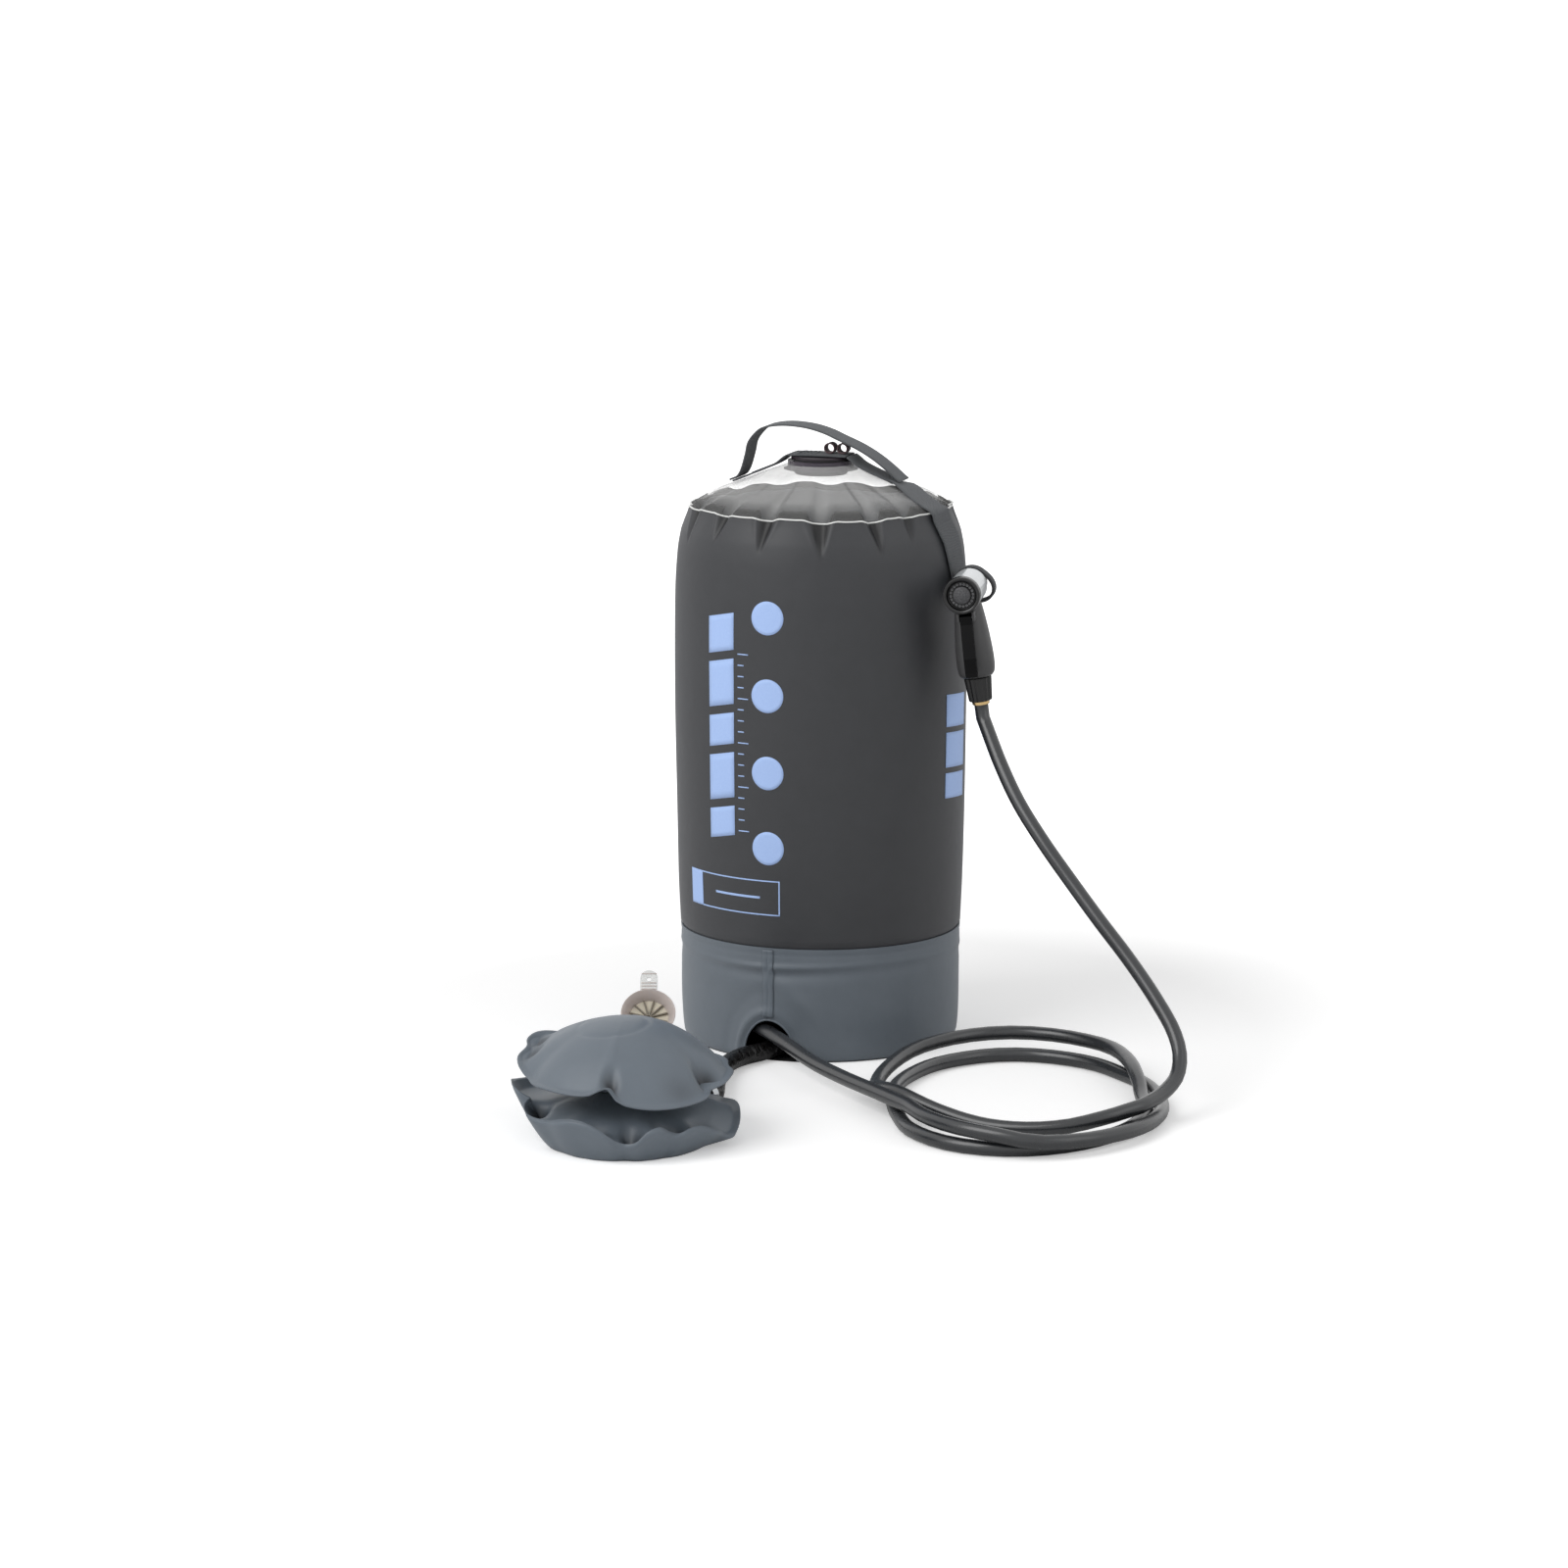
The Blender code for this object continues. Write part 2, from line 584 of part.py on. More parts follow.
def build_skirt(root):
    """The grey skirt with its arch, and the strip welded over its seam."""
    outline = list(SKIRT_OUTLINE) + [(SKIRT_HEM, 0.0)]
    inner = inset(outline, SKIRT_WALL)
    inner[-1] = (SKIRT_HEM, SKIRT_WALL)
    skirt = turned("skirt", outline + inner[::-1], root, GREY_FABRIC, roughness=0.5)
    facing = (math.sin(ARCH_AZIMUTH), -math.cos(ARCH_AZIMUTH))
    bm = bmesh.new()
    bmesh.ops.create_cone(bm, cap_ends=True, segments=32, radius1=1, radius2=1, depth=0.05)
    bmesh.ops.scale(bm, vec=(ARCH_WIDTH / 2, ARCH_HEIGHT, 1), verts=bm.verts)
    radius = SKIRT_OUTLINE[2][0]
    arch = mesh_object("arch_cutter", bm, root, location=(facing[0] * radius, facing[1] * radius, 0),
                       rotation=(math.pi / 2, 0, ARCH_AZIMUTH))
    boolean(skirt, arch)
    width, thickness, height = SEAM_STRIP
    out = SKIRT_OUTLINE[0][0] + GAP + thickness / 2
    middle = (SKIRT_OUTLINE[0][1] + ARCH_HEIGHT) / 2
    box("skirt_seam_strip", (width, thickness, height), root, GREY_FABRIC, roughness=0.5,
        location=(facing[0] * out, facing[1] * out, middle), rotation=(0, 0, ARCH_AZIMUTH))


def build_fill_port(root, plug):
    """The port welded into the clear top, and the plug that lifts out of it."""
    turned("port_flange", (
        (PORT_RADIUS, PORT_TOP), (PORT_RADIUS, PORT_BOTTOM + 0.0016),
        (PORT_BRIM, PORT_BOTTOM + 0.0008), (PORT_BRIM, PORT_BOTTOM), (PORT_BORE, PORT_BOTTOM),
        (PORT_BORE, PORT_TOP),
    ), root, PLASTIC_BLACK, sides=PORT_SIDES, roughness=0.4)
    seal = PORT_TOP + GAP
    turned("plug_seal", ring_profile(PORT_BORE + GAP, PLUG_PLATE_RADIUS, seal, seal + SEAL_THICKNESS),
           plug, PLASTIC_BLACK, sides=PORT_SIDES, roughness=0.7)
    bottom = seal + SEAL_THICKNESS + GAP
    top = bottom + PLUG_PLATE_THICKNESS
    foot = bottom - PLUG_FOOT_BOTTOM
    foot_top = foot + PLUG_FOOT_THICKNESS
    turned("fill_plug", (
        (0, top), (PLUG_PLATE_RADIUS - 0.0006, top), (PLUG_PLATE_RADIUS, top - 0.0006),
        (PLUG_PLATE_RADIUS, bottom), (PLUG_NECK_RADIUS, bottom), (PLUG_NECK_RADIUS, foot_top),
        (PLUG_FOOT_RADIUS - 0.0008, foot_top), (PLUG_FOOT_RADIUS, foot_top - 0.0008),
        (PLUG_FOOT_RADIUS, foot + 0.0008), (PLUG_FOOT_RADIUS - 0.0008, foot), (0, foot),
    ), plug, PLASTIC_BLACK, closed=False, sides=PORT_SIDES, roughness=0.4)
    return top


def build_plug_webbing(plug_straps, plate_top):
    """The webbing over the plug and the two pull loops sewn on it."""
    middle = plate_top + GAP + WEBBING / 2
    strap("plug_strap", [(-PLUG_STRAP_HALF, middle), (0, middle), (PLUG_STRAP_HALF, middle)],
          plug_straps)
    half_x, half_z = PULL_LOOP_RADII
    centre = middle + WEBBING / 2 + GAP + PULL_LOOP_THICKNESS / 2 + half_z
    steps = 14
    for tag, x in zip(("left", "right"), PULL_LOOPS):
        turns = [math.tau * k / steps for k in range(steps)]
        path = [(x + half_x * math.cos(t), 0, centre + half_z * math.sin(t)) for t in turns]
        ribbon("pull_loop_" + tag, path, [(0, 1, 0)] * steps, PULL_LOOP_WIDTH,
               PULL_LOOP_THICKNESS, plug_straps, TAPE_PLUM, loop=True, roughness=0.9)


def build_webbing(root, straps, handle):
    """The straps sewn to the clear top, the handle and the strap down the side."""
    strap("base_strap_left", [(-x, z) for x, z in BASE_STRAP], straps)
    strap("base_strap_right", BASE_STRAP[:-1], straps)
    strap("handle_end_left", HANDLE_LEFT_END, straps)
    strap("handle_end_right", HANDLE_RIGHT_END, straps)
    strap("handle_strap", [(x, z - HANDLE_AXIS_HEIGHT) for x, z in HANDLE_ARCH], handle)
    path = []
    for radius, turn, height in SIDE_STRAP:
        angle = math.radians(turn)
        path.append(Vector((radius * math.cos(angle), radius * math.sin(angle), height)))
    across = []
    for i, point in enumerate(path):
        along = path[min(i + 1, len(path) - 1)] - path[max(i - 1, 0)]
        side = Vector((-point.y, point.x, 0))
        across.append(side - along * side.dot(along) / along.length_squared)
    ribbon("side_strap", path, across, WEBBING_WIDTH, WEBBING, straps, WEBBING_GREY, roughness=0.9)


def elbow_points(port, heading, drop):
    """The elbow under a fitting: down from the floor panel, then level along its heading."""
    x, y = port
    along = Vector((math.cos(heading), math.sin(heading), 0))
    height = FLOOR_HEIGHT - drop
    points = [Vector((x, y, FLOOR_HEIGHT - ELBOW_START))]
    for k in range(7):
        angle = math.pi / 2 * k / 6
        fall = Vector((0, 0, height + ELBOW_BEND * (1 - math.sin(angle))))
        points.append(Vector((x, y, 0)) + along * ELBOW_BEND * (1 - math.cos(angle)) + fall)
    points.append(Vector((x, y, height)) + along * ELBOW_REACH)
    return points, along


def build_fitting(tag, port, heading, drop, root):
    """A stem through the floor panel, its nut, and the elbow below it."""
    low = FLOOR_HEIGHT - ELBOW_START + GAP
    turned(tag + "_stem", (
        (0, FLOOR_HEIGHT + STEM_RISE), (STEM_RADIUS, FLOOR_HEIGHT + STEM_RISE),
        (STEM_RADIUS, FLOOR_HEIGHT - GAP), (STEM_FLANGE, FLOOR_HEIGHT - GAP),
        (STEM_FLANGE, low + 0.0012), (STEM_RADIUS, low), (0, low),
    ), root, PLASTIC_BLACK, closed=False, sides=24, location=(*port, 0), roughness=0.4)
    top = FLOOR_HEIGHT + FLOOR_THICKNESS + GAP
    nut = cylinder(tag + "_nut", FITTING_NUT, NUT_HEIGHT, root, PLASTIC_BLACK, sides=6,
                   location=(*port, top + NUT_HEIGHT / 2), roughness=0.4)
    bore = cylinder(tag + "_nut_bore", STEM_RADIUS + GAP, 0.02, root, location=(*port, top))
    boolean(nut, bore)
    points, along = elbow_points(port, heading, drop)
    tube(tag + "_elbow", points, ELBOW_RADIUS, root, PLASTIC_BLACK, roughness=0.4)
    return points[-1] + along * GAP, along


def build_duckbill(root):
    """The rubber check valve on top of the air inlet's stem."""
    low = FLOOR_HEIGHT + STEM_RISE + GAP
    turned("duckbill_valve", (
        (0, low + DUCKBILL_LENGTH), (DUCKBILL_RADIUS * 0.3, low + DUCKBILL_LENGTH),
        (DUCKBILL_RADIUS * 0.92, low + DUCKBILL_LENGTH * 0.14), (DUCKBILL_RADIUS, low), (0, low),
    ), root, AIR_HOSE_BLACK, closed=False, sides=16, location=(*AIR_PORT, 0), roughness=0.7)


def hose_clamp(name, start, along, radius, root):
    """A clamp ring round a hose, just past its end."""
    middle = start + along * CLAMP_SETBACK
    level = math.atan2(along.y, along.x)
    half = CLAMP_WIDTH / 2
    inner = radius + GAP
    turned(name, ring_profile(inner, inner + CLAMP_WALL, -half, half), root, STEEL, sides=24,
           location=middle, rotation=(0, math.pi / 2, level), roughness=0.3, metallic=1.0)


def handset_matrix():
    """The hand shower's frame, from the tank's frame."""
    return Euler((HANDSET_PITCH, HANDSET_ROLL, HANDSET_TURN)).to_matrix()


def build_head(barrel):
    """The barrel with its bezel, spray plate, core and rear cap; heights run forward."""
    back = -BEZEL_LENGTH - GAP
    end = back - BARREL_LENGTH
    turned("bezel", (
        (BEZEL_RADIUS - 0.0007, 0.0010), (BEZEL_RADIUS, 0.0003), (BEZEL_RADIUS, -BEZEL_LENGTH),
        (BARREL_RADIUS - 0.00185, -BEZEL_LENGTH), (BARREL_RADIUS - 0.00185, 0.0010),
    ), barrel, PLASTIC_BLACK, sides=32, roughness=0.3)
    plate = turned("spray_plate", rod_profile(BARREL_RADIUS - 0.00215, -0.0040, -0.0018), barrel,
                   PLASTIC_BLACK, closed=False, sides=32, roughness=0.45)
    bm = bmesh.new()
    for k in range(NOZZLES):
        angle = math.tau * k / NOZZLES
        made = bmesh.ops.create_cone(bm, cap_ends=True, segments=5, radius1=NOZZLE_RADIUS,
                                     radius2=NOZZLE_RADIUS, depth=0.01)
        bmesh.ops.translate(bm, verts=made["verts"],
                            vec=(NOZZLE_CIRCLE * math.cos(angle), NOZZLE_CIRCLE * math.sin(angle), 0))
    boolean(plate, mesh_object("nozzle_cutter", bm, barrel))
    turned("barrel_sleeve", ring_profile(BARREL_RADIUS - BARREL_WALL, BARREL_RADIUS, end, back),
           barrel, SATIN_SILVER, sides=32, roughness=0.3, metallic=0.6)
    core = BARREL_RADIUS - BARREL_WALL - GAP
    turned("barrel_core", (
        (0, end + 0.0025), (core - 0.0025, end + 0.0025), (core - 0.0025, back), (core, back),
        (core, end), (0, end),
    ), barrel, PLASTIC_BLACK, closed=False, sides=32, roughness=0.5)
    cap = end - GAP
    turned("rear_cap", (
        (0, cap), (REAR_CAP_RADIUS, cap), (REAR_CAP_RADIUS, cap - REAR_CAP_LENGTH + 0.0020),
        (REAR_CAP_RADIUS - 0.0015, cap - REAR_CAP_LENGTH), (0, cap - REAR_CAP_LENGTH),
    ), barrel, PLASTIC_BLACK, closed=False, sides=32, roughness=0.4)


def oval(height, half_width, half_depth, sides=20, power=2.5):
    """A rounded section across the grip."""
    points = []
    for k in range(sides):
        angle = math.tau * k / sides
        c, s = math.cos(angle), math.sin(angle)
        x = half_width * math.copysign(abs(c) ** (2 / power), c)
        y = half_depth * math.copysign(abs(s) ** (2 / power), s)
        points.append((x, GRIP_AXIS + y, height))
    return points


def build_grip(handset):
    """The hollow grip with the two ears that hold the trigger's pin."""
    grip = loft("grip", [oval(*section) for section in GRIP_SECTIONS], handset, GRIP_GREY,
                roughness=0.6)
    pivot_y, pivot_z = TRIGGER_PIVOT
    ear = 0.0018
    for side in (-1, 1):
        lug = box("ear_%d" % side, (ear, 0.0100, 0.0064), handset,
                  location=(side * (TRIGGER_WIDTH / 2 + GAP + ear / 2), pivot_y + 0.0020,
                            pivot_z + 0.0002))
        boolean(grip, lug, 'UNION')
    bottom = GRIP_SECTIONS[-1][0]
    cuts = (
        cylinder("saddle_cutter", BARREL_RADIUS + GAP, 0.08, handset, sides=48,
                 location=(0, GRIP_AXIS, 0), rotation=ALONG_Y),
        cylinder("grip_bore_cutter", GRIP_BORE, 0.040, handset,
                 location=(0, GRIP_AXIS, bottom + 0.0195)),
        cylinder("plunger_hole_cutter", PLUNGER_RADIUS + GAP, 0.016, handset, sides=12,
                 location=(0, GRIP_AXIS - 0.013, PLUNGER_HEIGHT), rotation=ALONG_Y),
        cylinder("pin_hole_cutter", PIN_RADIUS + GAP, 0.03, handset, sides=12,
                 location=(0, pivot_y, pivot_z), rotation=ALONG_X),
    )
    for cutter in cuts:
        boolean(grip, cutter)
    cylinder("trigger_pin", PIN_RADIUS, TRIGGER_WIDTH + 2 * (GAP + ear), handset, STEEL, sides=12,
             location=(0, pivot_y, pivot_z), rotation=ALONG_X, roughness=0.3, metallic=1.0)


def build_trigger(trigger):
    """The trigger: a flat outline with a hole for its pin, across the grip's front."""
    curve = bpy.data.curves.new("trigger", 'CURVE')
    curve.dimensions = '2D'
    curve.fill_mode = 'BOTH'
    curve.extrude = TRIGGER_WIDTH / 2
    hole = [(math.cos(math.tau * k / 12) * (PIN_RADIUS + GAP),
             math.sin(math.tau * k / 12) * (PIN_RADIUS + GAP)) for k in range(12)]
    for outline in (TRIGGER_OUTLINE, hole):
        spline = curve.splines.new('POLY')
        spline.points.add(len(outline) - 1)
        for control, (y, z) in zip(spline.points, outline):
            control.co = (y, z, 0, 1)
        spline.use_cyclic_u = True
    item = bpy.data.objects.new("trigger", curve)
    place(item, trigger, rotation=(math.pi / 2, 0, math.pi / 2))
    finish(item, PLASTIC_BLACK, roughness=0.15)


def build_valve(handset):
    """The plunger that the trigger pushes, and the spring behind its disc."""
    disc_radius, disc_thickness = PLUNGER_DISC
    front = PLUNGER_BACK - disc_thickness
    turned("valve_plunger", (
        (0, -PLUNGER_TIP), (PLUNGER_RADIUS, -PLUNGER_TIP), (PLUNGER_RADIUS, -front),
        (disc_radius, -front), (disc_radius, -PLUNGER_BACK), (0, -PLUNGER_BACK),
    ), handset, BRASS, closed=False, sides=12, location=(0, 0, PLUNGER_HEIGHT), rotation=ALONG_Y,
        roughness=0.3, metallic=1.0)
    steps = 10 * SPRING_TURNS
    begin = PLUNGER_BACK + GAP + SPRING_WIRE / 2
    rise = SPRING_LENGTH - SPRING_WIRE
    points = []
    for k in range(steps + 1):
        angle = math.tau * SPRING_TURNS * k / steps
        points.append((SPRING_RADIUS * math.cos(angle), begin + rise * k / steps,
                       PLUNGER_HEIGHT + SPRING_RADIUS * math.sin(angle)))
    tube("plunger_spring", points, SPRING_WIRE / 2, handset, STEEL, resolution=1, roughness=0.3,
         metallic=1.0)


def build_collar(handset, nut):
    """The ribbed nut, the brass ring under it and the hose tail inside them."""
    top = GRIP_SECTIONS[-1][0] - GAP
    bottom = top - NUT_LENGTH
    rings = []
    rib = 0.0007
    for height, radius in ((top, NUT_RADII[0] - rib), (top - 0.0010, NUT_RADII[0]),
                           (bottom + 0.0010, NUT_RADII[1]), (bottom, NUT_RADII[1] - rib)):
        ring = []
        for k in range(2 * NUT_RIBS):
            angle = math.tau * k / (2 * NUT_RIBS)
            size = radius - (rib if k % 2 else 0)
            ring.append((size * math.cos(angle), size * math.sin(angle), height))
        rings.append(ring)
    item = loft("collar_nut", rings, nut, PLASTIC_BLACK, roughness=0.35)
    boolean(item, cylinder("nut_bore_cutter", TAIL_RADIUS + GAP, 0.06, nut, location=(0, 0, bottom)))
    low = bottom - GAP - FERRULE_LENGTH
    turned("brass_ring", ring_profile(TAIL_RADIUS + GAP, 0.0061, low, bottom - GAP), handset,
           BRASS, sides=24, location=(0, GRIP_AXIS, 0), roughness=0.3, metallic=1.0)
    turned("hose_tail", (
        (0, top + 0.0040), (GRIP_BORE - GAP, top + 0.0040), (GRIP_BORE - GAP, top + 0.0007),
        (TAIL_RADIUS, top + 0.0003), (TAIL_RADIUS, low), (0, low),
    ), handset, PLASTIC_BLACK, closed=False, sides=24, location=(0, GRIP_AXIS, 0), roughness=0.4)
    return low - GAP


def build_sling(frame):
    """The webbing loop round the rear cap, sagging away from it on the outer side."""
    steps = 22
    path = []
    for k in range(steps):
        angle = math.tau * k / steps
        reach = SLING_RADIUS + SLING_REACH * max(0.0, math.cos(angle + SLING_SAG)) ** 1.5
        path.append((reach * math.cos(angle), SLING_CENTRE, reach * math.sin(angle)))
    ribbon("sling_loop", path, [(0, 1, 0)] * steps, SLING_WIDTH, WEBBING, frame, WEBBING_GREY,
           loop=True, roughness=0.9)


def coil_station(angle):
    """The coil's reach and height at an angle, smooth through its stations."""
    last = len(COIL_STATIONS) - 1
    i = 0
    while i < last - 1 and COIL_STATIONS[i + 1][0] < angle:
        i += 1

    def slope(j, column):
        a, b = COIL_STATIONS[max(j - 1, 0)], COIL_STATIONS[min(j + 1, last)]
        return (b[column] - a[column]) / (b[0] - a[0])

    a, b = COIL_STATIONS[i], COIL_STATIONS[i + 1]
    span = b[0] - a[0]
    t = (angle - a[0]) / span
    values = []
    for column in (1, 2):
        rise = (2 * t ** 3 - 3 * t ** 2 + 1) * a[column] + (3 * t ** 2 - 2 * t ** 3) * b[column]
        lean = (t ** 3 - 2 * t ** 2 + t) * slope(i, column) + (t ** 3 - t ** 2) * slope(i + 1, column)
        values.append(rise + lean * span)
    return values


def coil_point(angle):
    """A point of the coil, by its angle from the front toward the right."""
    reach, height = coil_station(angle)
    turn = math.radians(angle)
    return Vector((COIL_CENTRE[0] + reach * math.sin(turn), COIL_CENTRE[1] - reach * math.cos(turn),
                   max(height, HOSE_RADIUS + 0.0001)))


def coil_gap(points):
    """The least gap between stretches of the coil that lie more than a quarter turn apart."""
    fine = even_points(points, 0.002)
    skip = round(0.08 / 0.002)
    least = min((a - b).length for i, a in enumerate(fine) for b in fine[i + skip:])
    return least - 2 * HOSE_RADIUS


def build_hose(root, water_start, handset_end):
    """The shower hose: the stretch out of the arch, the coil and the rise to the hand shower."""
    first, last = COIL_STATIONS[0][0], COIL_STATIONS[-1][0]
    steps = round((last - first) / 360 * COIL_POINTS_PER_TURN)
    curve = [coil_point(first + (last - first) * k / steps) for k in range(steps + 1)]
    way_in = (curve[1] - curve[0]).normalized()
    way_out = (curve[-1] - curve[-2]).normalized()
    straight = 2 * HOSE_RADIUS
    points = [curve[0] - way_in * straight] + curve + [curve[-1] + way_out * straight]
    tube("hose_coil", points, HOSE_RADIUS, root, HOSE_BLACK, resolution=1, roughness=0.4)
    print("least gap of the coil to itself: %.2f mm" % (coil_gap(points) * 1000))
    start, along = water_start
    cord("hose_outlet", (start, along), OUTLET_ROUTE, (points[0] - way_in * GAP, way_in),
         HOSE_RADIUS, root, HOSE_BLACK, roughness=0.4)
    end, up = handset_end
    cord("hose_riser", (points[-1] + way_out * GAP, way_out), RISER_ROUTE, (end, up), HOSE_RADIUS,
         root, HOSE_BLACK, roughness=0.4)


def through_stations(stations, azimuth):
    """A smooth height round a rim, from its (azimuth, height) stations."""
    count = len(stations)
    azimuth = (azimuth + 180) % 360 - 180
    index = count - 1
    for k in range(count):
        if stations[k][0] > azimuth:
            index = k - 1
            break
    a, b = stations[index], stations[(index + 1) % count]
    start = a[0] if index >= 0 else a[0] - 360
    stop = b[0] if index < count - 1 else b[0] + 360
    t = (azimuth - start) / (stop - start)
    t = t * t * (3 - 2 * t)
    return a[1] + (b[1] - a[1]) * t


class Pillow:
    """The shape of one welded pillow: two skins, a ruffled flange and a hole in one skin."""

    def __init__(self, radius, rim, closed_height, open_height, ruffle, folds, roof=None, rest=None):
        self.radius = radius
        self.rim = rim
        self.closed_height = closed_height
        self.open_height = open_height
        self.ruffle = ruffle
        self.folds = folds
        self.roof = roof
        self.rest = rest

    def skin(self, share, azimuth, height, lift=0.0):
        """A point of a skin at a share of the radius; lift moves it off the outer face."""
        flat = 1 - PILLOW_FLANGE / self.radius
        bulge = max(0.0, 1 - (share / flat) ** 2)
        edge = through_stations(self.ruffle, azimuth)
        side = math.copysign(PILLOW_WALL / 2, height)
        z = self.rim + side + height * bulge + (edge - self.rim) * share ** RUFFLE_FADE
        if self.rest and height < 0:
            z = (edge + side) * max(0.0, (share - self.rest) / (1 - self.rest)) ** 1.2
        reach = self.radius * share
        for fold, draw in self.folds:
            turn = (azimuth - fold + 180) % 360 - 180
            reach -= draw * share ** 4 * math.exp(-(turn / 9) ** 2)
        angle = math.radians(azimuth)
        x, y = reach * math.sin(angle), -reach * math.cos(angle)
        if self.roof and height > 0:
            z = min(z, self.roof(y))
        return Vector((x, y, max(z, 0.0) + lift))


def build_pillow(name, shape, pump):
    """A pillow as one thin shell, open at the neck."""
    hole = NECK_BORE / shape.radius
    closed_in = -math.copysign(PILLOW_WALL, shape.closed_height)
    open_in = -math.copysign(PILLOW_WALL, shape.open_height)
    courses = [(share, shape.closed_height, 0.0)
               for share in (0.2, 0.38, 0.54, 0.68, 0.8, 0.9, 0.95, 1.0)]
    courses += [(share, shape.open_height, 0.0) for share in (1.0, 0.92, 0.8, 0.66, 0.5, hole)]
    courses += [(share, shape.open_height, open_in) for share in (hole, 0.5, 0.66, 0.78)]
    courses += [(share, shape.closed_height, closed_in) for share in (0.8, 0.68, 0.54, 0.38, 0.2)]
    bm = bmesh.new()
    loops = []
    for share, height, lift in courses:
        loop = []
        for k in range(PILLOW_SIDES):
            azimuth = 360 * k / PILLOW_SIDES - 180
            loop.append(bm.verts.new(shape.skin(share, azimuth, height, lift)))
        loops.append(loop)
    for upper, lower in zip(loops, loops[1:]):
        for i in range(PILLOW_SIDES):
            j = (i + 1) % PILLOW_SIDES
            bm.faces.new((upper[i], upper[j], lower[j], lower[i]))
    for loop, lift in ((loops[0], 0.0), (loops[-1], closed_in)):
        pole = bm.verts.new(shape.skin(0.0, 0.0, shape.closed_height, lift))
        for i in range(PILLOW_SIDES):
            bm.faces.new((pole, loop[i], loop[(i + 1) % PILLOW_SIDES]))
    return mesh_object(name, bm, pump, PUMP_FABRIC, roughness=0.6)


def valve_roof(y):
    """The height to which the stiff valve seat holds the upper pillow down."""
    offset = y - VALVE_CENTRE[1]
    return VALVE_CENTRE[2] - 0.0004 + offset * math.tan(VALVE_TILT)


def build_pump(pump, press):
    """The two pillows, the neck between them and their foam cores."""
    lower = Pillow(LOWER_RADIUS, LOWER_RIM, -LOWER_RIM, LOWER_CROWN, LOWER_RUFFLE, LOWER_FOLDS,
                   rest=LOWER_REST)
    upper = Pillow(UPPER_RADIUS, UPPER_RIM, UPPER_CROWN, -UPPER_BELLY, UPPER_RUFFLE, UPPER_FOLDS,
                   valve_roof)
    build_pillow("lower_pillow", lower, pump)
    shell = build_pillow("upper_pillow", upper, press)
    low = LOWER_RIM + LOWER_CROWN - 0.0007
    high = UPPER_BASE + UPPER_RIM - UPPER_BELLY - 0.0006
    turned("pump_neck", ring_profile(NECK_BORE, NECK_RADIUS, low, high), pump, PUMP_FABRIC,
           sides=32, roughness=0.6)
    for name, profile, parent in (("lower_foam", LOWER_FOAM, pump), ("upper_foam", UPPER_FOAM, press)):
        turned(name, profile, parent, FOAM_YELLOW, closed=False, sides=24, roughness=0.9)
    return shell


def build_intake(valve, shell):
    """The valve seat, its grid and flap, on the back of the upper pillow."""
    turned("valve_seat", (
        (COLLAR_RADIUS, SEAT_FLANGE + COLLAR_HEIGHT), (COLLAR_RADIUS, SEAT_FLANGE),
        (SEAT_RADIUS, SEAT_FLANGE), (SEAT_RADIUS, 0), (SEAT_BORE, 0),
        (SEAT_BORE, SEAT_FLANGE + COLLAR_HEIGHT),
    ), valve, TRANSLUCENT, sides=30, roughness=0.4)
    rim = SEAT_BORE - GAP
    grid = turned("valve_grid", ring_profile(rim - 0.0016, rim, 0.0002, 0.0002 + GRID_THICKNESS),
                  valve, TRANSLUCENT, sides=30, roughness=0.4)
    for k in range(GRID_SPOKES // 2):
        spoke = box("grid_spoke_%d" % k, (2 * rim - 0.0016, 0.0014, GRID_THICKNESS - 0.0002), valve,
                    location=(0, 0, 0.0002 + GRID_THICKNESS / 2),
                    rotation=(0, 0, math.pi * k / (GRID_SPOKES // 2)))
        boolean(grid, spoke, 'UNION')
    cylinder("valve_flap", FLAP_RADIUS, FLAP_THICKNESS, valve, FLAP_BROWN, sides=24,
             location=(0, 0, -FLAP_THICKNESS / 2 - 0.0002), roughness=0.7)
    hole = cylinder("valve_hole_cutter", VALVE_HOLE, 0.012, valve, sides=24)
    boolean(shell, hole)


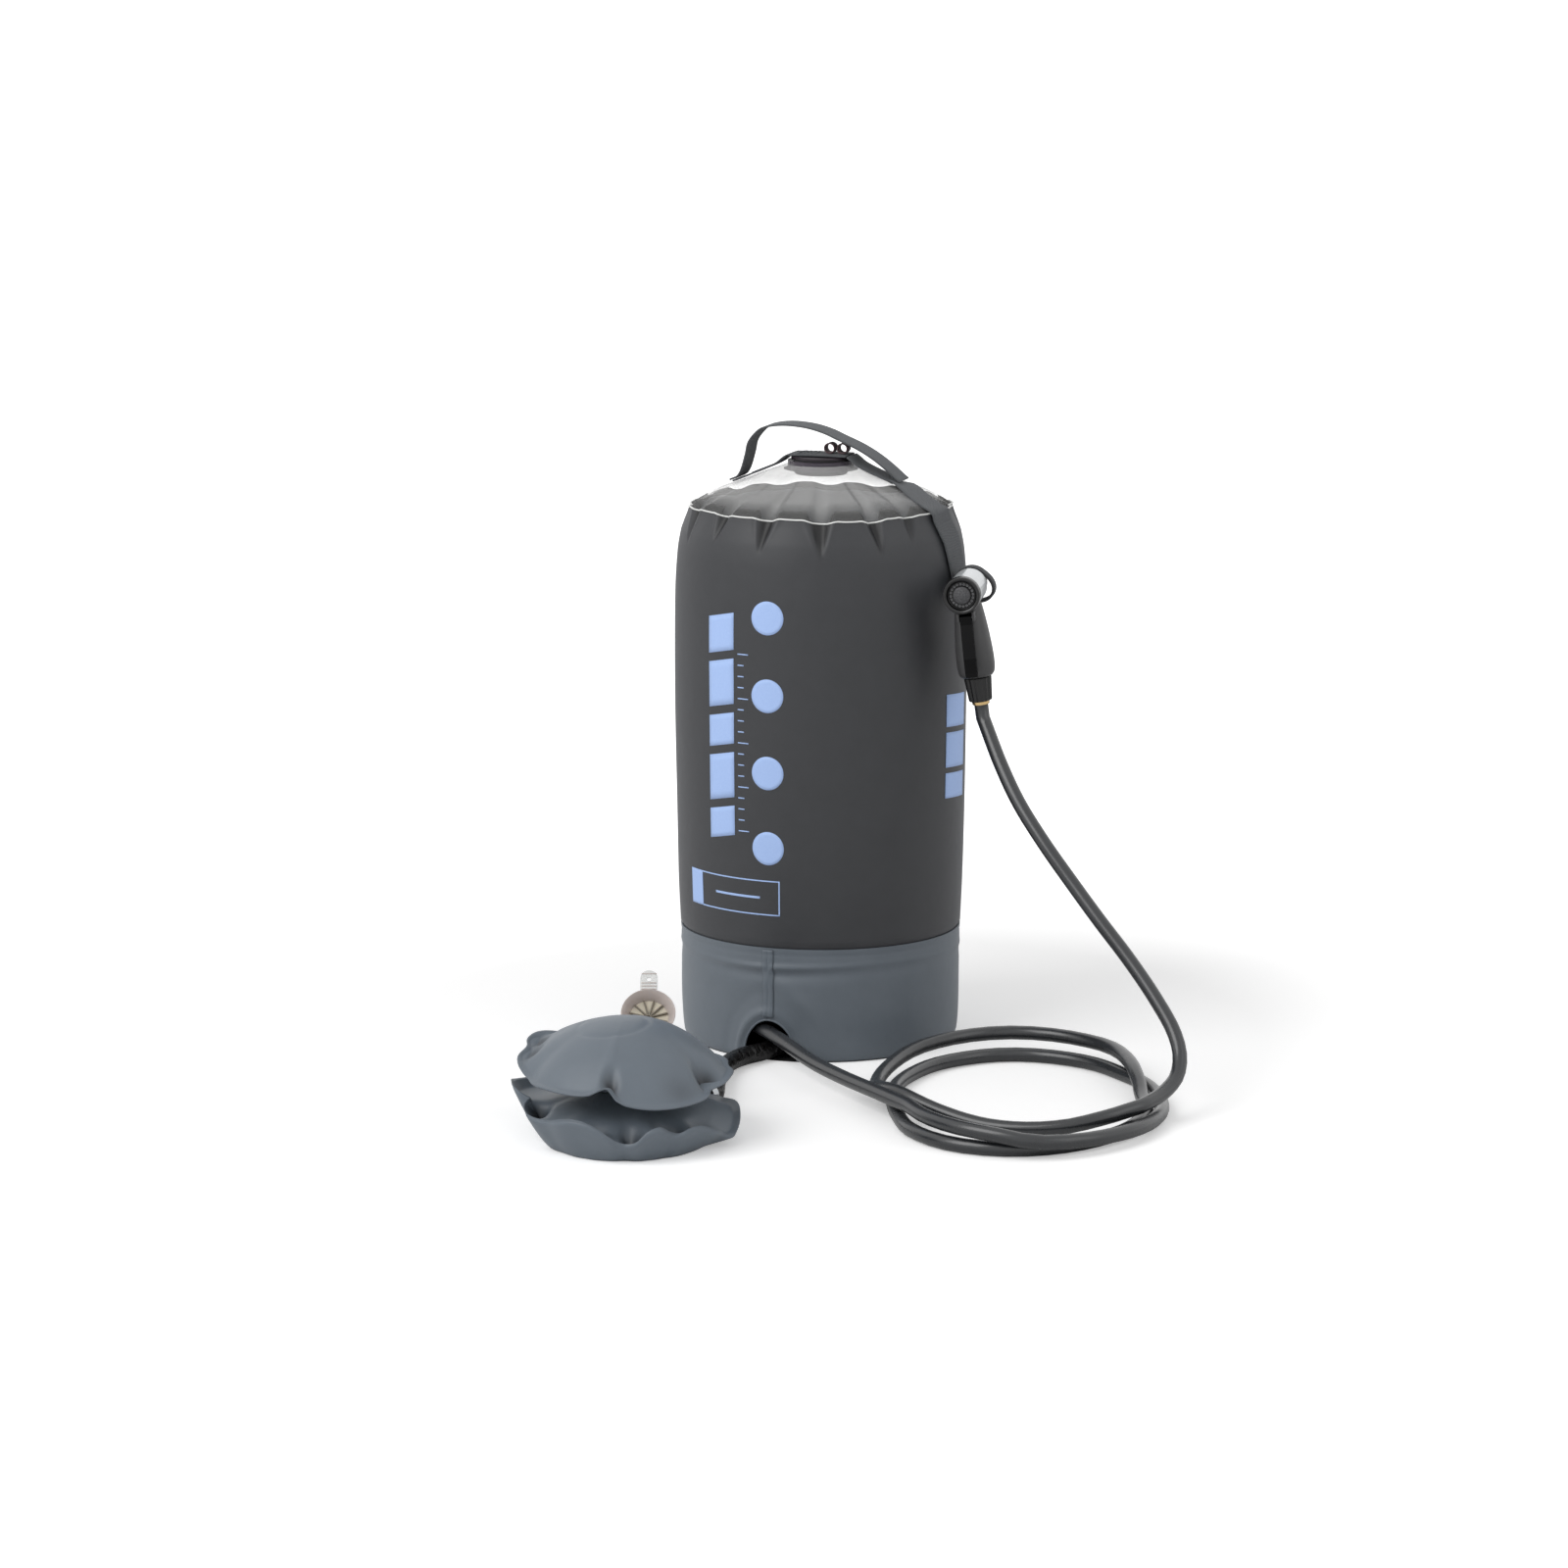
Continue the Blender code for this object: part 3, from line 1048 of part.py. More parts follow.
def build_cap(cap):
    """The open intake cap: a cup with ribs on its floor and a pull tab; its hinge is the origin."""
    floor = -CAP_DEPTH
    cup = turned("valve_cap", (
        (0, floor + CAP_WALL), (CAP_FLOOR_RADIUS - CAP_WALL, floor + CAP_WALL),
        (CAP_RADIUS - CAP_WALL, 0), (CAP_RADIUS, 0), (CAP_FLOOR_RADIUS, floor), (0, floor),
    ), cap, TRANSLUCENT, closed=False, sides=30, location=(0, CAP_REACH, 0), roughness=0.4,
        alpha=0.8)
    for k in range(CAP_RIBS // 2):
        rib = box("cap_rib_%d" % k, (2 * (CAP_FLOOR_RADIUS - CAP_WALL), CAP_RIB_WIDTH, CAP_RIB_HEIGHT),
                  cap, location=(0, CAP_REACH, floor + CAP_WALL + CAP_RIB_HEIGHT / 2 - 0.0003),
                  rotation=(0, 0, math.pi * k / (CAP_RIBS // 2)))
        boolean(cup, rib, 'UNION')
    inner_end = CAP_REACH + CAP_RADIUS - 0.0010
    half = TAB_WIDTH / 2
    straight = TAB_LENGTH - half
    rings = []
    for height in TAB_HEIGHTS:
        outline = [(half, inner_end, height), (half, inner_end + straight, height)]
        for k in range(1, 8):
            angle = math.pi * k / 8
            outline.append((half * math.cos(angle), inner_end + straight + half * math.sin(angle),
                            height))
        outline += [(-half, inner_end + straight, height), (-half, inner_end, height)]
        rings.append(outline)
    tab = loft("cap_tab", rings, cap)
    boolean(cup, tab, 'UNION')
    boolean(cup, cylinder("tab_hole_cutter", TAB_HOLE, 0.01, cap, sides=12,
                          location=(0, inner_end + straight - 0.0010, sum(TAB_HEIGHTS) / 2)))


def build_everything():
    """Set up the frames and build each sub-assembly."""
    root = empty("shower_origin", location=(*TANK_AXIS, 0))
    plug = empty("plug_frame", root)
    straps = empty("strap_frame", root, rotation=(0, 0, STRAP_TURN))
    plug_straps = empty("plug_strap_frame", plug, rotation=(0, 0, STRAP_TURN))
    handle = empty("handle_axis", straps, location=(0, 0, HANDLE_AXIS_HEIGHT))
    build_tank(root)
    plate_top = build_fill_port(root, plug)
    build_plug_webbing(plug_straps, plate_top)
    build_webbing(root, straps, handle)
    water_end, water_way = build_fitting("water", WATER_PORT, WATER_HEADING, WATER_ELBOW_DROP, root)
    air_end, air_way = build_fitting("air", AIR_PORT, AIR_HEADING, AIR_ELBOW_DROP, root)
    build_duckbill(root)
    hose_clamp("water_clamp", water_end, water_way, HOSE_RADIUS, root)
    hose_clamp("air_clamp", air_end, air_way, AIR_HOSE_RADIUS, root)

    rotation = (HANDSET_PITCH, HANDSET_ROLL, HANDSET_TURN)
    handset = empty("handset_frame", root, HANDSET_FACE, rotation)
    sling = empty("sling_frame", root, HANDSET_FACE, rotation)
    barrel = empty("barrel_axis", handset, rotation=(math.pi / 2, 0, 0))
    trigger = empty("trigger_axis", handset, location=(0, *TRIGGER_PIVOT))
    nut = empty("nut_axis", handset, location=(0, GRIP_AXIS, 0))
    build_head(barrel)
    build_grip(handset)
    build_trigger(trigger)
    build_valve(handset)
    hose_low = build_collar(handset, nut)
    build_sling(sling)

    turn = handset_matrix()
    hose_end = Vector(HANDSET_FACE) + turn @ Vector((0, GRIP_AXIS, hose_low))
    build_hose(root, (water_end, water_way), (hose_end, turn @ Vector((0, 0, 1))))

    pump = empty("pump_frame", root, (*PUMP_CENTRE, 0))
    press = empty("press_axis", pump, (0, 0, UPPER_BASE))
    valve = empty("valve_frame", press, VALVE_CENTRE, (VALVE_TILT, 0, 0))
    hinge = empty("cap_hinge", valve, location=(0, CAP_REACH, SEAT_FLANGE + GAP),
                  rotation=(math.pi - CAP_OPEN_ANGLE, 0, 0))
    shell = build_pump(pump, press)
    build_intake(valve, shell)
    build_cap(hinge)
    cylinder("cap_tether", TETHER_RADIUS, TETHER_LENGTH, valve, TRANSLUCENT, sides=12,
             location=(0, CAP_REACH, SEAT_FLANGE + GAP), rotation=ALONG_X, roughness=0.4)
    outward = Vector((math.sin(AIR_OUTLET_AZIMUTH), -math.cos(AIR_OUTLET_AZIMUTH), 0))
    outlet = Vector((*PUMP_CENTRE, AIR_OUTLET_HEIGHT)) + outward * (LOWER_RADIUS + AIR_OUTLET_GAP)
    cord("air_hose", (air_end, air_way), AIR_ROUTE, (outlet, -outward), AIR_HOSE_RADIUS, root,
         AIR_HOSE_BLACK, roughness=0.5)
    hose_clamp("pump_clamp", outlet, outward, AIR_HOSE_RADIUS, root)


build_everything()
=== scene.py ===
# %% [markdown]
# # A portable pressure shower, dressed for a close look
#
# The CAD model is a fixed frame: every piece here is made where its solid stands, in metres.
# The hard pieces keep their solids and get a finish. The soft ones, such as the welded tank,
# the webbing and the foot pump's pillows, are made again as the fabric forms they really are.

# %% The frame and its box
import math

import bmesh
import bpy
from mathutils import Euler, Matrix, Vector


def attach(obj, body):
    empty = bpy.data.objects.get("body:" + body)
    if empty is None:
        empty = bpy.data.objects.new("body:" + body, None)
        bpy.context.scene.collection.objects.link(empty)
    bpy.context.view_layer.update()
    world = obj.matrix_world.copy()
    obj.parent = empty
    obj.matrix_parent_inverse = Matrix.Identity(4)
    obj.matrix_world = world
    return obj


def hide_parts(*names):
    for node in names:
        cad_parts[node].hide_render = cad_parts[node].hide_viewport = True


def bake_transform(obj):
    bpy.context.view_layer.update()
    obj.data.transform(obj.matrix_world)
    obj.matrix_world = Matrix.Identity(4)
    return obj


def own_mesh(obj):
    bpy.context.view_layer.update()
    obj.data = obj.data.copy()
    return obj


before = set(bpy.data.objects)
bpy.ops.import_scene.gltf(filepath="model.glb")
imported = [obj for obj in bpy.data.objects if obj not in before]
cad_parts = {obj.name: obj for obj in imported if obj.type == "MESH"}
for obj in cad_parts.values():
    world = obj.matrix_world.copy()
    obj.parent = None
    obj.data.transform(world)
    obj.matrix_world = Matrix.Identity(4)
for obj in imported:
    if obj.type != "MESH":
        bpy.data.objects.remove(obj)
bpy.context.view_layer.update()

# %% [markdown]
# Every drawn position is measured from the tank's axis on the ground, because the tank is the
# piece that everything else hangs on. A few matrices then place each sub-assembly: the straps,
# the hand shower, the foot pump, its valve and the valve's open cap.

# %% Places
GAP = 0.0003
AXIS = Vector((0.0405, 0.1362, 0.0))
TANK = Matrix.Translation(AXIS)
STRAPS = TANK @ Matrix.Rotation(math.radians(-16.0), 4, 'Z')
HANDSET_TURN = Euler([math.radians(a) for a in (2.3, -7.5, -10.6)]).to_matrix()
HANDSET = Matrix.Translation(AXIS + Vector((0.0966, -0.1000, 0.3317))) @ HANDSET_TURN.to_4x4()
PUMP_CENTRE = Vector((-0.1280, -0.3023, 0.0))
PUMP = Matrix.Translation(AXIS + PUMP_CENTRE)
PUMP_TOP = PUMP @ Matrix.Translation((0, 0, 0.0018))
VALVE_CENTRE = Vector((0.0118, 0.0555, 0.0566))
VALVE_LEAN = math.radians(30.0)
VALVE = PUMP_TOP @ Matrix.Translation(VALVE_CENTRE) @ Matrix.Rotation(-VALVE_LEAN, 4, 'X')
CAP_HINGE, CAP_OPEN = (0, 0.0200, 0.0015), math.radians(77.1)
CAP = VALVE @ Matrix.Translation(CAP_HINGE) @ Matrix.Rotation(CAP_OPEN, 4, 'X')


# %% [markdown]
# The photograph was taken with a long lens from about 3.4 m, a little above the tank. A long
# lens keeps the tank's sides almost parallel, so the same distance is kept here.

# %% Camera
camera_data = bpy.data.cameras.new("camera")
camera_data.lens = 111.3
camera_data.sensor_width = 36.0
camera = bpy.data.objects.new("camera", camera_data)
camera.location = AXIS + Vector((0.0, -3.402, 0.8195))
camera.rotation_euler = (math.pi / 2 - 0.1855, 0.0, 0.0077)
bpy.context.scene.collection.objects.link(camera)
bpy.context.scene.camera = camera


# %% [markdown]
# A finish starts as a Principled shader. One function adds a node, sets it up and links it, and
# one turns the colours that a designer writes in hex into the linear ones that the shader uses.

# %% Colour and node helpers
def colour(hex_code):
    """An sRGB hex colour as linear RGBA."""
    channels = [int(hex_code[i:i + 2], 16) / 255 for i in (1, 3, 5)]
    return [c / 12.92 if c <= 0.04045 else ((c + 0.055) / 1.055) ** 2.4 for c in channels] + [1.0]


def add(tree, kind, settings=None, **links):
    """Add a node; links give an input's name, with _ for a space, and a value or a socket."""
    node = tree.nodes.new(kind)
    for key, value in (settings or {}).items():
        setattr(node, key, value)
    for key, value in links.items():
        socket = node.inputs[int(key[2:]) if key.startswith("in") else key.replace("_", " ")]
        if isinstance(value, bpy.types.NodeSocket):
            tree.links.new(value, socket)
        else:
            socket.default_value = value
    return node


def finish(name, base, roughness=0.5, metallic=0.0, **sockets):
    """A new material with a Principled shader: returns the material, its tree and shader."""
    material = bpy.data.materials.new(name)
    material.use_nodes = True
    tree = material.node_tree
    shader = tree.nodes["Principled BSDF"]
    shader.inputs["Base Color"].default_value = colour(base)
    shader.inputs["Roughness"].default_value = roughness
    shader.inputs["Metallic"].default_value = metallic
    for key, value in sockets.items():
        shader.inputs[key.replace("_", " ")].default_value = value
    return material, tree, shader


def object_place(tree):
    """The Object coordinates, for patterns that stay on the piece."""
    return add(tree, "ShaderNodeTexCoord").outputs["Object"]


def two_tone(tree, shader, factor, dark, light):
    """Let a pattern move the base colour between two close tones."""
    ramp = add(tree, "ShaderNodeMix", {"data_type": 'RGBA'}, in0=factor, in6=colour(dark),
               in7=colour(light))
    tree.links.new(ramp.outputs[2], shader.inputs["Base Color"])


def speckled(name, base, roughness, dark, light, scale, detail=2.0, metallic=0.0, **sockets):
    """A finish whose colour drifts between two close tones."""
    material, tree, shader = finish(name, base, roughness, metallic, **sockets)
    drift = add(tree, "ShaderNodeTexNoise", None, Vector=object_place(tree), Scale=scale,
                Detail=detail)
    two_tone(tree, shader, drift.outputs["Fac"], dark, light)
    return material


def relief(tree, shader, height, distance, strength=1.0, under=None):
    """Bump from a height pattern, over another bump where one is given."""
    links = {"Height": height, "Distance": distance, "Strength": strength}
    if under is not None:
        links["Normal"] = under
    bump = add(tree, "ShaderNodeBump", None, **links)
    tree.links.new(bump.outputs["Normal"], shader.inputs["Normal"])
    return bump.outputs["Normal"]


# %% [markdown]
# Coated fabric is a close polyester weave under a film of soft vinyl. The eye gets a dull satin
# with a lighter sheen at the edges, faint threads, and slow handling creases. The threads are
# 0.25 mm apart on the real one; they are drawn at 0.7 mm, as fine as shows at this distance.
# A piece's own "shade" attribute, from 0 to 1, paints shade into its folds and hollows, where they
# would lie in shadow.

# %% Coated fabrics
THREAD_GAP = 0.0007


def coated_fabric(name, dark, light, roughness, crease=0.0006, crease_scale=38.0):
    """A woven fabric under a vinyl coat, with threads, mottling and handling creases."""
    material, tree, shader = finish(name, dark, roughness, Sheen_Weight=0.12,
                                    Sheen_Roughness=0.45, Specular_IOR_Level=0.45)
    shader.inputs["Sheen Tint"].default_value = colour("#c9ccd4")
    place = object_place(tree)
    mottle = add(tree, "ShaderNodeTexNoise", None, Vector=place, Scale=60.0, Detail=6.0,
                 Roughness=0.6)
    tone = add(tree, "ShaderNodeMix", {"data_type": 'RGBA'}, in0=mottle.outputs["Fac"],
               in6=colour(dark), in7=colour(light))
    # Painted shade: the "shade" attribute multiplies the colour toward dark grey in folds and
    # hollows.
    deep = add(tree, "ShaderNodeAttribute", {"attribute_name": "shade"})
    shaded = add(tree, "ShaderNodeMix", {"data_type": 'RGBA', "blend_type": 'MULTIPLY'},
                 in0=deep.outputs["Fac"], in6=tone.outputs[2], in7=colour("#5a5a5c"))
    tree.links.new(shaded.outputs[2], shader.inputs["Base Color"])
    fold = add(tree, "ShaderNodeTexNoise", None, Vector=place, Scale=crease_scale, Detail=2.0,
               Roughness=0.45, Distortion=0.6)
    weave = add(tree, "ShaderNodeTexVoronoi", None, Vector=place, Scale=1.0 / THREAD_GAP)
    creased = relief(tree, shader, fold.outputs["Fac"], crease, 0.55)
    relief(tree, shader, weave.outputs["Distance"], 0.00006, 0.35, creased)
    wear = add(tree, "ShaderNodeMapRange", None, Value=mottle.outputs["Fac"],
               To_Min=roughness - 0.05, To_Max=roughness + 0.07)
    tree.links.new(wear.outputs["Result"], shader.inputs["Roughness"])
    return material


TANK_FABRIC = coated_fabric("black_coated_polyester", "#343538", "#3c3d40", 0.48)
INNER_COAT = coated_fabric("pale_inner_coat", "#7e8187", "#8d9096", 0.40)
# The welded edge is coated near black and barely reflects, darker than the tank's own fabric:
# painted shade for the scallops above the weld.
WELD_EDGE_SHADE_COAT = speckled("black_weld_edge_painted_shade", "#0d0e0f", 0.8, "#0b0c0d", "#141516", 300.0, 3.0,
                     Specular_IOR_Level=0.05)
SKIRT_FABRIC = coated_fabric("grey_coated_polyester", "#606870", "#697179", 0.42)
PUMP_FABRIC = coated_fabric("grey_coated_nylon", "#656e77", "#6e7780", 0.42, crease=0.0005,
                            crease_scale=75.0)
SEAM_FABRIC = coated_fabric("grey_seam_tape", "#5e666f", "#677078", 0.42, crease=0.0002)

# %% [markdown]
# The top is clear soft vinyl film, calendered smooth, with a faint haze of its own. It is nearly
# transparent by the weld and whiter where it bows up to the port and is seen at a glancing angle:
# that whitening is a painted reflection of the white room, and its own "shade" attribute says
# how strong. Only a slow ripple breaks its reflections. The moulded parts are smoky, milky or
# clear.

# %% Clear film and translucent plastic
CLEAR_FILM, tree, shader = finish("clear_vinyl_film", "#f4f4f3", 0.10, Alpha=0.15,
                                  Specular_IOR_Level=0.5)
# Painted reflection: the film's "shade" attribute raises its alpha, and so its whiteness, toward
# the port.
glare_amount = add(tree, "ShaderNodeAttribute", {"attribute_name": "shade"})
haze_and_glare_alpha = add(tree, "ShaderNodeMapRange", None, Value=glare_amount.outputs["Fac"], To_Min=0.06, To_Max=0.22)
tree.links.new(haze_and_glare_alpha.outputs["Result"], shader.inputs["Alpha"])
ripple = add(tree, "ShaderNodeTexNoise", None, Vector=object_place(tree), Scale=55.0, Detail=1.5,
             Distortion=0.8)
relief(tree, shader, ripple.outputs["Fac"], 0.0006, 0.5)
CLEAR_PLASTIC, tree, shader = finish("smoky_moulded_vinyl", "#4e4752", 0.14, Alpha=0.72)
flow = add(tree, "ShaderNodeTexNoise", None, Vector=object_place(tree), Scale=90.0, Detail=1.0)
relief(tree, shader, flow.outputs["Fac"], 0.0003, 0.4)
two_tone(tree, shader, flow.outputs["Fac"], "#3a343f", "#6f6873")
WELD_LINE = speckled("white_weld_bead", "#e9eae8", 0.4, "#e0e1df", "#f1f2f0", 400.0)
MILKY = speckled("milky_soft_vinyl", "#d4c9c4", 0.38, "#cbbfba", "#ddd4cf", 180.0, 3.0, IOR=1.45,
                 Transmission_Weight=0.15, Subsurface_Weight=0.35,
                 Subsurface_Radius=(0.006, 0.005, 0.004))
CLEAR_TAB = speckled("clear_soft_vinyl", "#e2e3e1", 0.22, "#d5d6d4", "#eeefed", 240.0, Alpha=0.5)
CREAM, tree, shader = finish("cream_moulded_plastic", "#d3cbb8", 0.5, Subsurface_Weight=0.2,
                             Subsurface_Radius=(0.004, 0.003, 0.002))
grain = add(tree, "ShaderNodeTexNoise", None, Vector=object_place(tree), Scale=400.0, Detail=2.0)
relief(tree, shader, grain.outputs["Fac"], 0.0001, 0.3)


# %% [markdown]
# Webbing is a flat weave of thick yarns. Each strap has its own map, in metres along and across,
# so the ribs cross it squarely however it bends. The yarns are drawn 1.2 mm apart.

# %% Webbing and tape
def webbing_weave(name, dark, light, rib=0.0012):
    """A flat weave that follows a strap's own map, with ribs across it and a bound edge."""
    material, tree, shader = finish(name, dark, 0.82, Sheen_Weight=0.3, Sheen_Roughness=0.5)
    shader.inputs["Sheen Tint"].default_value = colour("#b9bcbf")
    lay = add(tree, "ShaderNodeUVMap", {"uv_map": "lay"})
    parts = add(tree, "ShaderNodeSeparateXYZ", None, Vector=lay.outputs["UV"])
    along = add(tree, "ShaderNodeMath", {"operation": 'MULTIPLY'}, in0=parts.outputs["X"],
                in1=math.tau / rib)
    across = add(tree, "ShaderNodeMath", {"operation": 'MULTIPLY'}, in0=parts.outputs["Y"],
                 in1=math.pi / rib)
    wave = add(tree, "ShaderNodeMath", {"operation": 'SINE'}, in0=along.outputs[0])
    check = add(tree, "ShaderNodeMath", {"operation": 'SINE'}, in0=across.outputs[0])
    yarn = add(tree, "ShaderNodeMath", {"operation": 'MULTIPLY'}, in0=wave.outputs[0],
               in1=check.outputs[0])
    fuzz = add(tree, "ShaderNodeTexNoise", None, Vector=object_place(tree), Scale=900.0, Detail=2.0)
    tone = add(tree, "ShaderNodeMapRange", None, Value=yarn.outputs[0], From_Min=-1.0, From_Max=1.0)
    mixed = add(tree, "ShaderNodeMath", {"operation": 'MULTIPLY'}, in0=tone.outputs["Result"],
                in1=fuzz.outputs["Fac"])
    two_tone(tree, shader, mixed.outputs[0], dark, light)
    relief(tree, shader, yarn.outputs[0], 0.00018, 0.8)
    return material


WEBBING = webbing_weave("charcoal_webbing", "#434548", "#74777a")
DARK_WEBBING = webbing_weave("black_webbing", "#222326", "#4a4c4f")
LOOP_TAPE = webbing_weave("plum_tape", "#4b383c", "#8a6a6e", 0.0009)


# %% [markdown]
# Moulded plastics differ mostly in their gloss. A fine grain from the mould breaks the highlight
# on the grip; the trigger was polished; nylon nuts and elbows lie between.

# %% Moulded plastics, rubber and metals
def moulded(name, base, roughness, grain_size=0.0004, depth=0.00003, **sockets):
    """A moulded plastic or rubber with the fine grain its mould left."""
    material, tree, shader = finish(name, base, roughness, **sockets)
    place = object_place(tree)
    grain = add(tree, "ShaderNodeTexNoise", None, Vector=place, Scale=1.0 / grain_size, Detail=3.0)
    relief(tree, shader, grain.outputs["Fac"], depth, 0.6)
    blotch = add(tree, "ShaderNodeTexNoise", None, Vector=place, Scale=90.0, Detail=3.0)
    wear = add(tree, "ShaderNodeMapRange", None, Value=blotch.outputs["Fac"],
               To_Min=roughness - 0.06, To_Max=roughness + 0.06)
    tree.links.new(wear.outputs["Result"], shader.inputs["Roughness"])
    return material


BLACK_NYLON = moulded("black_moulded_nylon", "#161617", 0.34)
PORT_PLASTIC = moulded("plum_black_moulded_vinyl", "#2c232b", 0.30)
GRIP_PLASTIC = moulded("charcoal_grained_plastic", "#414142", 0.45, 0.0006, 0.00005)
TRIGGER_PLASTIC = moulded("black_polished_plastic", "#050506", 0.16, 0.002, 0.00001,
                          Specular_IOR_Level=0.15)
SEAL_RUBBER = moulded("black_moulded_rubber", "#202021", 0.65)
FOAM = moulded("yellow_open_foam", "#cdbb8c", 0.9, 0.0012, 0.0005)
FLAP_RUBBER = moulded("brown_rubber_flap", "#6b4a42", 0.6)


def satin_metal(name, base, roughness):
    """A turned or drawn metal, with fine lines round or along it."""
    material, tree, shader = finish(name, base, roughness, 1.0)
    lines = add(tree, "ShaderNodeTexNoise", None, Vector=object_place(tree), Scale=1500.0,
                Detail=1.0)
    wear = add(tree, "ShaderNodeMapRange", None, Value=lines.outputs["Fac"],
               To_Min=roughness - 0.06, To_Max=roughness + 0.10)
    tree.links.new(wear.outputs["Result"], shader.inputs["Roughness"])
    return material


BRASS = satin_metal("turned_brass", "#dfc08a", 0.30)
STEEL = satin_metal("drawn_steel", "#b9bcbf", 0.30)
SILVER = speckled("satin_silver_paint", "#dfe3e6", 0.28, "#d9dde0", "#eceff1", 2600.0, 1.0, 0.35,
                  Coat_Weight=0.3)

# %% [markdown]
# The shower hose is extruded flexible vinyl with a satin skin, so a long soft highlight runs
# along it. The air hose is softer and dull, and creases where it bends on the ground.

# %% Hose vinyls and ink
HOSE_VINYL, tree, shader = finish("black_extruded_vinyl", "#25272a", 0.28, Specular_IOR_Level=0.6,
                                  Coat_Weight=0.25, Coat_Roughness=0.22)
drag = add(tree, "ShaderNodeTexNoise", None, Vector=object_place(tree), Scale=140.0, Detail=4.0)
two_tone(tree, shader, drag.outputs["Fac"], "#212326", "#2b2d30")
wear = add(tree, "ShaderNodeMapRange", None, Value=drag.outputs["Fac"], To_Min=0.22, To_Max=0.36)
tree.links.new(wear.outputs["Result"], shader.inputs["Roughness"])
AIR_VINYL, tree, shader = finish("black_soft_vinyl", "#0e0d0d", 0.28)
creases = add(tree, "ShaderNodeTexNoise", None, Vector=object_place(tree), Scale=160.0, Detail=3.0,
              Distortion=1.2)
relief(tree, shader, creases.outputs["Fac"], 0.0022, 0.9)
PRINT_INK = speckled("light_blue_screen_ink", "#adc9fa", 0.55, "#a6c3f6", "#b4cefc", 700.0, 3.0)


# %% [markdown]
# Three small makers serve most pieces. A grid is an operator's mesh whose points are then moved
# to their place, round a piece or along it. A turned piece spins a profile round an axis. A
# tube is a curve with a round bevel, made a mesh once its line is right.

# %% Makers
SAME_POINT = 0.000002


def settle(name, bm, look, body, replaced=(), matrix=None, sharp=None):
    """Make the piece of a bmesh, with its place in its mesh, and let it ride on its body."""
    if matrix is not None:
        bmesh.ops.transform(bm, matrix=matrix, verts=bm.verts)
    bmesh.ops.remove_doubles(bm, verts=bm.verts, dist=SAME_POINT)
    bmesh.ops.recalc_face_normals(bm, faces=bm.faces)
    mesh = bpy.data.meshes.new(name)
    bm.to_mesh(mesh)
    bm.free()
    piece = bpy.data.objects.new(name, mesh)
    bpy.context.scene.collection.objects.link(piece)
    mesh.materials.append(look)
    mesh.shade_smooth()
    if sharp:
        mesh.set_sharp_from_angle(angle=math.radians(sharp))
    if body:
        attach(piece, body)
    if replaced:
        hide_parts(*replaced)
    return piece


def shade_folds(piece, depth_of):
    """Write a piece's "shade" attribute, from 0 to 1, from a depth at each of its points."""
    layer = piece.data.attributes.new("shade", 'FLOAT', 'POINT')
    for vert, item in zip(piece.data.vertices, layer.data):
        item.value = min(1.0, max(0.0, depth_of(vert.co)))


def laid_grid(across, along, place, closed=False):
    """A grid whose points, from 0 to 1 both ways, are moved by place(u, v)."""
    bm = bmesh.new()
    bmesh.ops.create_grid(bm, x_segments=across, y_segments=along, size=0.5)
    lay = bm.loops.layers.uv.new("lay")
    shares = {vert: (vert.co.x + 0.5, vert.co.y + 0.5) for vert in bm.verts}
    for vert, (u, v) in shares.items():
        vert.co = place(u, v)
    for face in bm.faces:
        for loop in face.loops:
            loop[lay].uv = shares[loop.vert]
    if closed:
        bmesh.ops.remove_doubles(bm, verts=bm.verts, dist=0.00002)
    return bm


def turned(profile, steps=96):
    """Spin a closed profile of (radius, height) round Z."""
    bm = bmesh.new()
    points = [bm.verts.new((radius, 0, height)) for radius, height in profile]
    edges = [bm.edges.new(pair) for pair in zip(points, points[1:] + points[:1])]
    bmesh.ops.spin(bm, geom=points + edges, cent=(0, 0, 0), axis=(0, 0, 1), angle=math.tau,
                   steps=steps, use_merge=True)
    bmesh.ops.remove_doubles(bm, verts=bm.verts, dist=SAME_POINT)
    bmesh.ops.dissolve_degenerate(bm, dist=0.000001, edges=bm.edges)
    return bm


def add_bar(bm, place, size):
    """Add a box of a size at a place."""
    bmesh.ops.create_cube(bm, size=1, matrix=place @ Matrix.Diagonal((*size, 1)))


def soften(bm, width):
    """Round off the edges that turn sharply."""
    edges = [e for e in bm.edges if len(e.link_faces) == 2
             and e.calc_face_angle(0) > math.radians(35)]
    bmesh.ops.bevel(bm, geom=edges, offset=width, offset_type='OFFSET', segments=2,
                    profile=0.5, affect='EDGES', material=-1, clamp_overlap=True)


def modify(piece, kind, **settings):
    """Add a modifier with its settings."""
    modifier = piece.modifiers.new(kind.title(), kind)
    for key, value in settings.items():
        setattr(modifier, key, value)


def mesh_now(item):
    """The mesh of an object as its curve or its modifiers make it."""
    bpy.context.view_layer.update()
    return bpy.data.meshes.new_from_object(item.evaluated_get(
        bpy.context.evaluated_depsgraph_get()))


def apply_modifiers(piece):
    """Make the modified shape the piece's own mesh."""
    mesh = mesh_now(piece)
    piece.modifiers.clear()
    piece.data = mesh


def cut(piece, bm):
    """Take a bmesh's shape out of a piece."""
    mesh = bpy.data.meshes.new("cutter")
    bm.to_mesh(mesh)
    bm.free()
    item = bpy.data.objects.new("cutter", mesh)
    bpy.context.scene.collection.objects.link(item)
    modify(piece, 'BOOLEAN', object=item, operation='DIFFERENCE', solver='EXACT')
    apply_modifiers(piece)
    bpy.data.objects.remove(item)


